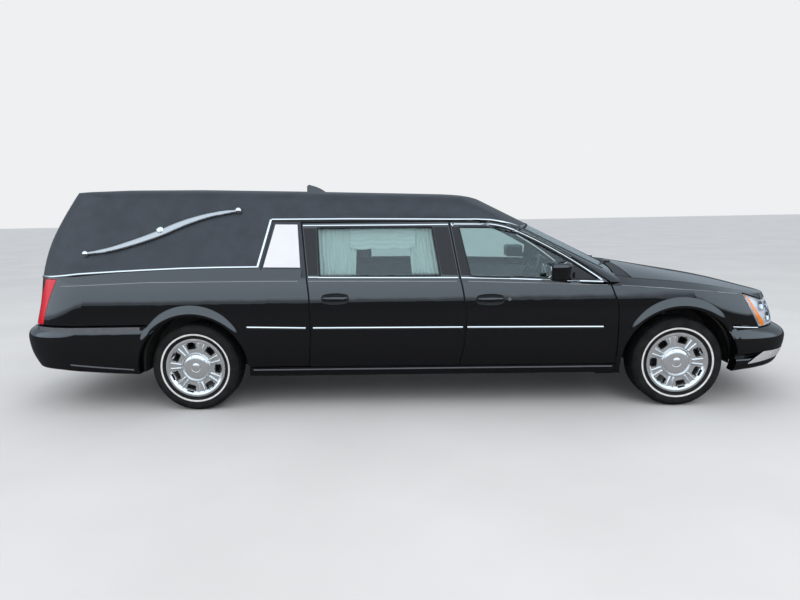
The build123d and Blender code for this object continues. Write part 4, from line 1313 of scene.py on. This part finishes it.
class HEARSE_OT_cabin(bpy.types.Operator):
    """Dashboard details, console, pedals, mirror, headliner and carpets"""
    bl_idname = "hearse.cabin"
    bl_label = "Cabin"

    def execute(self, context):
        build("dash_forms", "plastic", [
            (box, (1.37, 0.23, 0.905), (1.56, 0.57, 0.985), 0.03, 4),
            (box, (1.36, -0.13, 0.64), (1.42, 0.13, 0.92), 0.012, 3),
            (box, (1.345, -0.72, 0.8), (1.4, -0.2, 0.83), 0.01, 3)])
        build("dash_wood", "walnut", [
            (box, (1.347, -0.72, 0.842), (1.362, -0.2, 0.866), 0.003),
            (box, (1.347, 0.2, 0.842), (1.362, 0.62, 0.866), 0.003),
            (box, (1.352, -0.11, 0.66), (1.364, 0.11, 0.7), 0.003)], "body")
        slats = [(box, (1.366, y - 0.055, 0.884 + 0.011 * k), (1.385, y + 0.055, 0.889 + 0.011 * k),
                  0.0015) for y in (-0.67, -0.24, 0.21, 0.66) for k in range(4)]
        slats += [(box, (1.352, y, 0.715 + 0.018 * k), (1.358, y + 0.085, 0.725 + 0.018 * k), 0.002)
                  for k in range(5) for y in (-0.1, 0.015)]
        build("dash_vents", "dark", slats)
        rims, faces = [], []
        for y, r in ((0.33, 0.045), (0.47, 0.045), (0.4, 0.028)):
            place = placed(1.369, y, 0.945, 90)
            rims.append((lathe, [(r - 0.003, 0.0), (r - 0.003, 0.005), (r, 0.006),
                                 (r + 0.002, 0.0)], place, 36))
            faces.append((lathe, [(0, 0.0015), (r - 0.004, 0.001), (r - 0.003, -0.002)], place, 36))
        build("dial_rims", "chrome", rims)
        build("dial_faces", "plate", faces, "body")
        build("dash_screen", "dark", [(box, (1.3515, -0.09, 0.82), (1.357, 0.09, 0.905), 0.003)])
        wheel = facing(Vector((1.215, 0.4, 0.905)), Vector((-0.88, 0, 0.475)))
        bm = bmesh.new()
        run = [Vector((x, 0, z)) for x, z in circle(0.185, 64)]
        sweep(bm, run, [Vector((0, 1, 0))] * len(run), circle(0.0152, 14), True)
        bmesh.ops.transform(bm, matrix=wheel, verts=bm.verts)
        finish_mesh("steering_rim_hide", bm, "leather", "body")
        stalks = [(rod, wheel @ Vector((0.03, -0.07, z)), wheel @ Vector((0.15, -0.05, z * 2)),
                   0.006, 12) for z in (-0.03, 0.03)]
        build("steering_hub_and_stalks", "plastic", [
            (lathe, [(0, 0.03), (0.03, 0.029), (0.055, 0.024), (0.064, 0.016), (0.066, -0.012)],
             wheel, 40),
            (rod, wheel @ Vector((0, -0.05, 0)), wheel @ Vector((0, -0.21, 0)), 0.034, 24),
            *stalks])
        build("centre_console", "leather", [
            (box, (0.5, -0.115, 0.33), (1.35, 0.115, 0.54), 0.03, 4),
            (box, (0.5, -0.105, 0.54), (0.82, 0.105, 0.6), 0.025, 4)])
        build("console_wood", "walnut", [(box, (0.86, -0.07, 0.54), (1.2, 0.07, 0.546), 0.003)])
        build("gear_lever", "chrome", [
            (rod, (1.08, 0, 0.545), (1.065, 0, 0.63), 0.007, 14),
            (ball, (1.063, 0, 0.645), 0.021, (1, 0.9, 1.2)),
            *((lathe, [(0.034, 0.0), (0.034, 0.003), (0.038, 0.003), (0.039, 0.0)],
               placed(x, 0, 0.546, 90, "X"), 32) for x in (0.92, 1.0))])
        pedals = []
        for y, w in ((0.44, 0.06), (0.3, 0.03)):
            pedals += [(box, (1.56, y - w, 0.44), (1.575, y + w, 0.51), 0.006),
                       (rod, (1.573, y, 0.5), (1.67, y, 0.62), 0.007, 10)]
        build("pedals", "plastic", pedals)
        roof = tree_of("roof_shell")

        def under_roof(s, t):
            """Place of a point of the headliner."""
            start = (-2.66 + s * 3.28, (t - 0.5) * 1.12, 1.2)
            return hit_of(roof, start, UP, "headliner")[0] - UP * 0.006
        thicken(finish_mesh("headliner", grid((60, 22), under_roof), "headliner"), 0.004)
        build("cabin_carpet", "carpet", [(box, (-0.88, -0.82, 0.327), (1.66, 0.82, 0.333), 0.002,
                                          1)])
        build("floor_mats", "plastic", [
            (box, (1.1, y - 0.22, 0.333), (1.55, y + 0.22, 0.34), 0.003) for y in (-0.4, 0.4)])
        build("cabin_mirror", "plastic", [
            (box, (0.99, -0.11, 1.265), (1.012, 0.11, 1.325), 0.01, 3),
            (rod, (1.01, 0, 1.3), (1.075, 0, 1.345), 0.006, 12)])
        build("cabin_mirror_glass", "mirror_bowl", [
            (box, (0.988, -0.103, 1.272), (0.9905, 0.103, 1.318), 0.001, 1)])
        return {"FINISHED"}


class HEARSE_OT_load_space(bpy.types.Operator):
    """Chrome rollers, rails and stops on the deck, side panels of the load space"""
    bl_idname = "hearse.load_space"
    bl_label = "Load space"

    def execute(self, context):
        roller = [(0.0, 0.301), (0.012, 0.301), (0.022, 0.299), (0.0268, 0.294)]
        build("deck_rollers", "chrome", [
            (lathe, [(r, -a) for r, a in roller] + roller[::-1], placed(x, 0, 0.629), 32)
            for x in (-2.76, -2.3, -1.7, -1.1, -0.5, 0.06)])
        rails = [(box, (-2.8, y - 0.009, 0.631), (0.25, y + 0.009, 0.638), 0.003, 3)
                 for y in (-0.52, -0.345, 0.345, 0.52)]
        rails.append((box, (-2.838, -0.555, 0.6), (-2.822, 0.555, 0.637), 0.004, 3))
        for x in (-2.45, -0.32):
            for y in (-0.25, 0.25):
                rails += [(rod, (x, y, 0.632), (x, y, 0.665), 0.014, 20),
                          (rod, (x, y, 0.632), (x, y, 0.637), 0.03, 24)]
        build("deck_rails_and_stops", "chrome", rails)
        panels, lamps = [], []
        for side, _ in SIDES:
            panels += [
                (box, (-2.72, side * 0.572, 0.632), (0.27, side * 0.6, 0.8), 0.01, 3),
                (box, (-2.3, side * 0.596, 0.791), (0.27, side * 0.79, 0.806), 0.006)]
            lamps += [(lathe, [(0, 0.012), (0.03, 0.01), (0.045, 0.0), (0.046, -0.006)],
                       placed(x, side * 0.66, 1.5, 90 - side * 25, "X"), 28) for x in (-2.1, -1.35)]
        build("load_space_side_panels", "trim", panels)
        build("partition_panel", "trim", [
            (box, (0.284, -0.62, 0.335), (0.31, 0.62, 0.99), 0.01, 3)])
        build("load_space_lamps", "plate", lamps)
        return {"FINISHED"}


class HEARSE_OT_rear(bpy.types.Operator):
    """Rear window rubber, blank plate in its frame, handle, hinges and high brake lamp"""
    bl_idname = "hearse.rear"
    bl_label = "Rear end"

    def execute(self, context):
        door, body = tree_of("loading_door"), "door_loading"

        def back(y, z):
            """Ray from behind the car."""
            return Vector((BEHIND, y, z)), Vector((1, 0, 0))

        def depth(y, z):
            """Where the loading door's skin lies along the car."""
            return hit_of(door, *back(y, z), "loading door")[0].x
        window = trace([(-0.45, 1.15), (0.45, 1.15), (0.405, 1.5), (-0.405, 1.5)], 0.05)
        edge = trace([(-0.563, 0.714), (0.563, 0.714), (0.56, 1.06), (0.494, 1.568),
                      (-0.494, 1.568)], 0.05)
        plate = trace([(-0.19, 0.815), (0.19, 0.815), (0.19, 0.965), (-0.19, 0.965)], 0.05)
        belt = [Vector((k * 0.05 - 0.55, 1.092)) for k in range(23)]
        for name, run, profile, finish, closed in (
                ("rear_window_rubber", grow(window, 0.006), flat_bar(0.016, 0.002, 0.01), "dark",
                 True),
                ("rear_window_bright_line", grow(window, 0.02), half_round(0.009, 0.005), "chrome",
                 True),
                ("loading_door_edge", edge, half_round(0.008, 0.003), "dark", True),
                ("loading_door_belt", belt, half_round(0.018, 0.008), "chrome", False),
                ("plate_frame", plate, half_round(0.014, 0.009), "chrome", True)):
            strip(name, [back(p.x, p.y) for p in run], door, profile, finish, body, closed)
        at, high, top = depth(0, 0.89), depth(0, 1.01), depth(0, 1.535)
        build("blank_plate", "plate", [
            (box, (at - 0.008, -0.155, 0.82), (at + 0.01, 0.155, 0.96), 0.002)], body)
        build("plate_screws", "chrome", [
            (rod, (at - 0.0105, y, z), (at, y, z), 0.006, 10)
            for y in (-0.13, 0.13) for z in (0.835, 0.945)], body)
        build("loading_door_handle_bar", "chrome", [
            (box, (high - 0.022, -0.16, 0.992), (high + 0.01, 0.16, 1.028), 0.008, 3)], body)
        build("plate_lamps", "plate", [
            (box, (high - 0.014, y - 0.03, 0.984), (high + 0.008, y + 0.03, 0.993), 0.003)
            for y in (-0.09, 0.09)], body)
        build("high_brake_lamp", "red", [
            (box, (top - 0.012, -0.17, 1.522), (top + 0.012, 0.17, 1.546), 0.006, 3)], body)
        leaves = []
        for y, z in ((0.566, 0.8), (0.566, 1.02), (0.5, 1.45)):
            x = depth(y - 0.012, z)
            leaves += [
                (box, (x - 0.006, y - 0.05, z - 0.02), (x + 0.008, y - 0.004, z + 0.02), 0.003),
                (rod, (x - 0.004, y - 0.002, z - 0.026), (x - 0.004, y - 0.002, z + 0.026),
                 0.0065, 14)]
        build("loading_door_hinge_leaves", "chrome", leaves, body)
        build("loading_door_lock", "chrome", [
            (lathe, [(0, 0.003), (0.008, 0.003), (0.011, 0.006), (0.016, 0.006), (0.018, 0.0)],
             placed(depth(-0.52, 0.84), -0.52, 0.84, 90), 24)], body)

        def inside(s, t):
            """Place of a point of the loading door's inner panel."""
            hit = hit_of(door, (-2.3, s - 0.5, 0.73 + t * 0.36), (-1, 0, 0), "inner panel")[0]
            return hit + Vector((0.012, 0, 0))
        thicken(finish_mesh("loading_door_inner_panel", grid((16, 8), inside), "trim", body),
                0.004)
        return {"FINISHED"}


class HEARSE_OT_front(bpy.types.Operator):
    """Grille bars, screen rubber, wipers, lower grille and fog lamps"""
    bl_idname = "hearse.front"
    bl_label = "Front end"

    def execute(self, context):
        skin, bumper = tree_of("grille"), tree_of("front_bumper")
        screen = tree_of("windshield_frame", "windshield", "roof_shell", "cowl")

        def ahead(y, z):
            """Ray from ahead of the car."""
            return Vector((AHEAD, y, z)), Vector((-1, 0, 0))
        slats = []
        for y in (k * 0.031 for k in range(-13, 14)):
            hit = skin.ray_cast(*ahead(y, 0.736))[0]
            x = 2.96 if hit is None else hit.x
            slats.append((box, (x - 0.034, y - 0.003, 0.632), (x - 0.006, y + 0.003, 0.775),
                          0.0018))
        build("grille_slats", "chrome", slats)

        def behind_bars(s, t):
            """Place of a point of the dark sheet behind the grille."""
            y = (s - 0.5) * 0.86
            return Vector((2.9 - 0.06 * (y / 0.43) ** 2, y, 0.702 + (t - 0.5) * 0.15))
        thicken(finish_mesh("grille_back", grid((24, 2), behind_bars), "dark"), 0.003)
        rim = trace([(-0.442, 0.62), (0.442, 0.62), (0.442, 0.785), (-0.442, 0.785)], 0.05)
        strip("grille_rim", [ahead(p.x, p.y) for p in rim], skin, half_round(0.02, 0.007),
              "chrome", closed=True)
        bm = bmesh.new()
        for z in (0.375, 0.383, 0.391):
            path = [Vector((2.985 - 0.055 * (k / 16) ** 2, 0.43 * k / 16, z))
                    for k in range(-16, 17)]
            sweep(bm, path, [Vector((1, 0, 0))] * len(path), flat_bar(0.003, 0.004))
        finish_mesh("lower_grille_bars", bm, "plastic")
        top = trace([(-0.765, 0.94), (0.765, 0.94), (0.64, 1.368), ((0, 1.392), (-0.64, 1.368))],
                    0.04)
        run = [p for p in grow(top, 0.004) if p.y > 1.04]
        run.sort(key=lambda p: (-1 if p.x < -0.6 else (1 if p.x > 0.6 else 0),
                                p.y if p.x < -0.6 else (-p.y if p.x > 0.6 else p.x)))
        strip("windshield_rubber", [ahead(p.x, p.y) for p in run], screen,
              flat_bar(0.02, 0.0025, 0.006), "dark")
        arms = []
        for y0, y1, z1 in ((0.52, -0.02, 1.085), (-0.05, -0.56, 1.08)):
            hits = [screen.ray_cast(*ahead(y0 + (y1 - y0) * t, 1.048 + (z1 - 1.048) * t))[0]
                    for t in (k / 8 for k in range(9))]
            points = [hit + Vector((0.012, 0, 0.006)) for hit in hits if hit is not None]
            arms += [(tube, points, 0.0055, 8),
                     (rod, points[0] + Vector((0.01, 0, -0.02)), points[len(points) // 2], 0.006,
                      10)]
        build("wipers", "plastic", arms)
        rims, lamps = [], []
        for side, _ in SIDES:
            hit = hit_of(bumper, *ahead(side * 0.62, 0.384), "fog lamps")[0]
            place = placed(hit.x + 0.004, hit.y, hit.z, -90)
            rims.append((lathe, [(0.022, -0.004), (0.022, 0.008), (0.0265, 0.008),
                                 (0.028, -0.004)], place, 30))
            lamps.append((lathe, [(0, 0.006), (0.012, 0.005), (0.021, 0.001), (0.0215, -0.003)],
                          place, 30))
        build("fog_lamp_rims", "chrome", rims)
        build("fog_lamps", "reflector", lamps)
        return {"FINISHED"}


class HEARSE_OT_underside(bpy.types.Operator):
    """Springs, dampers, brakes, shafts, tank straps, exhaust joints and engine details"""
    bl_idname = "hearse.underside"
    bl_label = "Underside and engine"

    def execute(self, context):
        springs, dampers, shafts = bmesh.new(), [], []
        turns, count = 5, 90
        for side, _ in SIDES:
            for x, y, z0, z1, r in ((FRONT_AXLE, 0.59, 0.6, 0.82, 0.049),
                                    (REAR_AXLE, 0.5, 0.375, 0.552, 0.058)):
                path, outward = [], []
                for k in range(count + 1):
                    turn = 2 * pi * turns * k / count
                    out = Vector((cos(turn), sin(turn), 0))
                    outward.append(out)
                    path.append(Vector((x, side * y, z0 + (z1 - z0) * k / count)) + out * r)
                sweep(springs, path, outward, circle(0.0065, 8))
            dampers += [
                (rod, (-1.5, side * 0.58, 0.33), (-1.42, side * 0.56, 0.558), 0.022, 18),
                (rod, (FRONT_AXLE, side * 0.59, 0.5), (FRONT_AXLE, side * 0.59, 0.62), 0.034, 20)]
            shafts += [(rod, (FRONT_AXLE, side * y0, z0), (FRONT_AXLE, side * y1, z1), r, count)
                       for y0, z0, y1, z1, r, count in ((0.33, 0.36, 0.63, 0.345, 0.016, 18),
                                                        (0.35, 0.36, 0.4, 0.358, 0.042, 20),
                                                        (0.58, 0.347, 0.635, 0.344, 0.04, 20))]
        finish_mesh("coil_springs", springs, "iron")
        build("dampers", "plastic", dampers, "body")
        for axle, x in AXLES:
            for side, word in SIDES:
                build(f"brake_disc_{axle}_{word}", "iron", [
                    (lathe, [(0.072, -0.02), (0.152, -0.02), (0.153, -0.026), (0.153, -0.042),
                             (0.152, -0.048), (0.07, -0.048), (0.07, -0.024), (0.068, 0.012),
                             (0.064, 0.012), (0.064, -0.05)],
                     placed(x, side * TRACK_HALF, HUB_Z, 0 if side > 0 else 180), 64)],
                    f"spin_{axle}_{word}")
                build(f"brake_caliper_{axle}_{word}", "cast", [
                    (box, (x - 0.165, side * 0.725, 0.3), (x - 0.105, side * 0.785, 0.41), 0.01,
                     3)], f"steer_{word}" if axle == "front" else "body")
        build("drive_shafts", "plastic", [
            *shafts, (rod, (1.93, -0.32, 0.3), (1.93, 0.32, 0.3), 0.022, 18)], "body")
        pipes = [(box, (x - 0.006, 0.176, 0.186), (x + 0.006, 0.424, 0.294), 0.006)
                 for x in (-2.62, -2.15)]
        for x in (-1.9, -0.9, 0.4, 1.3):
            pipes += [(rod, (x, 0.3, 0.245), (x + 0.03, 0.3, 0.245), 0.034, 20),
                      (rod, (x + 0.015, 0.3, 0.27), (x + 0.015, 0.3, 0.302), 0.008, 10)]
        build("exhaust_joints_and_tip", "exhaust", [
            *pipes, (rod, (-2.96, 0.3, 0.245), (-2.87, 0.3, 0.245), 0.033, 28)])
        build("tank_straps_and_filler", "iron", [
            *((box, (x - 0.02, -0.334, 0.176), (x + 0.02, 0.184, 0.179), 0.001, 1)
              for x in (-0.5, -0.1)),
            (rod, (-0.66, -0.3, 0.26), (-0.9, -0.56, 0.3), 0.016, 12)])
        build("engine_cover", "plastic", [
            (box, (2.0, -0.26, 0.815), (2.5, 0.26, 0.845), 0.015, 4),
            *((box, (2.04, k * 0.06 - 0.012, 0.842), (2.46, k * 0.06 + 0.012, 0.85), 0.003)
              for k in range(-3, 4))])
        build("pulleys", "iron", [
            (lathe, [(0, 0.01), (r * 0.3, 0.012), (r * 0.35, 0.004), (r * 0.85, 0.004),
                     (r * 0.88, 0.012), (r, 0.012), (r * 0.94, -0.008), (0, -0.008)],
             placed(2.575, y, z, -90), 36)
            for y, z, r in ((0.1, 0.5, 0.08), (-0.12, 0.62, 0.05), (0.0, 0.7, 0.04),
                            (0.2, 0.68, 0.045))], "body")
        build("radiator", "dark", [(box, (2.72, -0.4, 0.5), (2.76, 0.4, 0.79), 0.006)], "body")
        fins = [(box, (2.758, -0.385, 0.515 + k * 0.0115), (2.764, 0.385, 0.518 + k * 0.0115),
                 0.0008, 1) for k in range(24)]
        fins += [(box, (2.712, y - 0.02, 0.49), (2.77, y + 0.02, 0.795), 0.01, 3)
                 for y in (-0.4, 0.4)]
        build("radiator_fins", "cast", fins)
        build("battery_and_box", "plastic", [
            (box, (2.36, 0.4, 0.62), (2.58, 0.56, 0.8), 0.008),
            (box, (1.98, -0.6, 0.62), (2.06, -0.4, 0.8), 0.02, 3)])
        build("coolant_hoses", "tyre", [
            (tube, curve_through(points), 0.02, 12) for points in (
                [(2.52, -0.2, 0.76), (2.62, -0.24, 0.79), (2.7, -0.3, 0.76)],
                [(2.5, 0.2, 0.45), (2.62, 0.26, 0.46), (2.7, 0.32, 0.52)])],
            "body")
        lid = tree_of("hood")

        def quilted(s, t):
            """Place of a point of the hood's quilted liner."""
            s, t = 2 * s - 1, 2 * t - 1
            hit = hit_of(lid, (2.31 + 0.4 * s, (0.6 - 0.05 * s) * t, 0.5), UP, "hood liner")[0]
            quilt = abs(sin(2.5 * pi * (s + 1)) * sin(3.5 * pi * (t + 1))) ** 0.5
            rim = min(1.0, (1 - max(abs(s), abs(t))) * 14)
            return hit - UP * (0.003 + 0.012 * quilt * rim)
        thicken(finish_mesh("hood_liner", grid((60, 84), quilted), "underbody", "hood_lid"), 0.003)
        x, wide, thick = 2.79, 0.03, 0.005
        top = hit_of(lid, (x, 0, 0.5), UP, "hood striker")[0].z
        low = top - 0.045
        loop = []
        for y in (-wide, wide):
            loop += [(rod, (x, y, top + 0.001), (x, y, low), thick, 14),
                     (ball, (x, y, low), thick)]
        build("hood_striker", "iron", [
            *loop, (rod, (x, -wide, low), (x, wide, low), thick, 14)], "hood_lid")
        return {"FINISHED"}


class HEARSE_PT_panel(bpy.types.Panel):
    """Lists the steps that dress the hearse"""
    bl_label = "Hearse"
    bl_idname = "HEARSE_PT_panel"
    bl_space_type = "VIEW_3D"
    bl_region_type = "UI"
    bl_category = "Hearse"

    def draw(self, context):
        for step in STEPS:
            self.layout.operator(step.bl_idname)


STEPS = (HEARSE_OT_stage, HEARSE_OT_finishes, HEARSE_OT_brightwork, HEARSE_OT_landau_bars,
         HEARSE_OT_lamps, HEARSE_OT_wheels, HEARSE_OT_curtains, HEARSE_OT_doors, HEARSE_OT_seats,
         HEARSE_OT_cabin, HEARSE_OT_load_space, HEARSE_OT_rear, HEARSE_OT_front,
         HEARSE_OT_underside)
GROUPS = (("hearse_paint", HearsePaint), ("hearse_trim", HearseTrim), ("hearse_view", HearseView))


def register():
    for name, group in GROUPS:
        bpy.utils.register_class(group)
        setattr(bpy.types.Scene, name, PointerProperty(type=group))
    for item in (*STEPS, HEARSE_PT_panel):
        bpy.utils.register_class(item)


def unregister():
    for item in (*STEPS, HEARSE_PT_panel):
        bpy.utils.unregister_class(item)
    for name, group in GROUPS:
        delattr(bpy.types.Scene, name)
        bpy.utils.unregister_class(group)


def main():
    register()
    for step in STEPS:
        section, action = step.bl_idname.split(".")
        getattr(getattr(bpy.ops, section), action)()


if __name__ == "__main__":
    main()
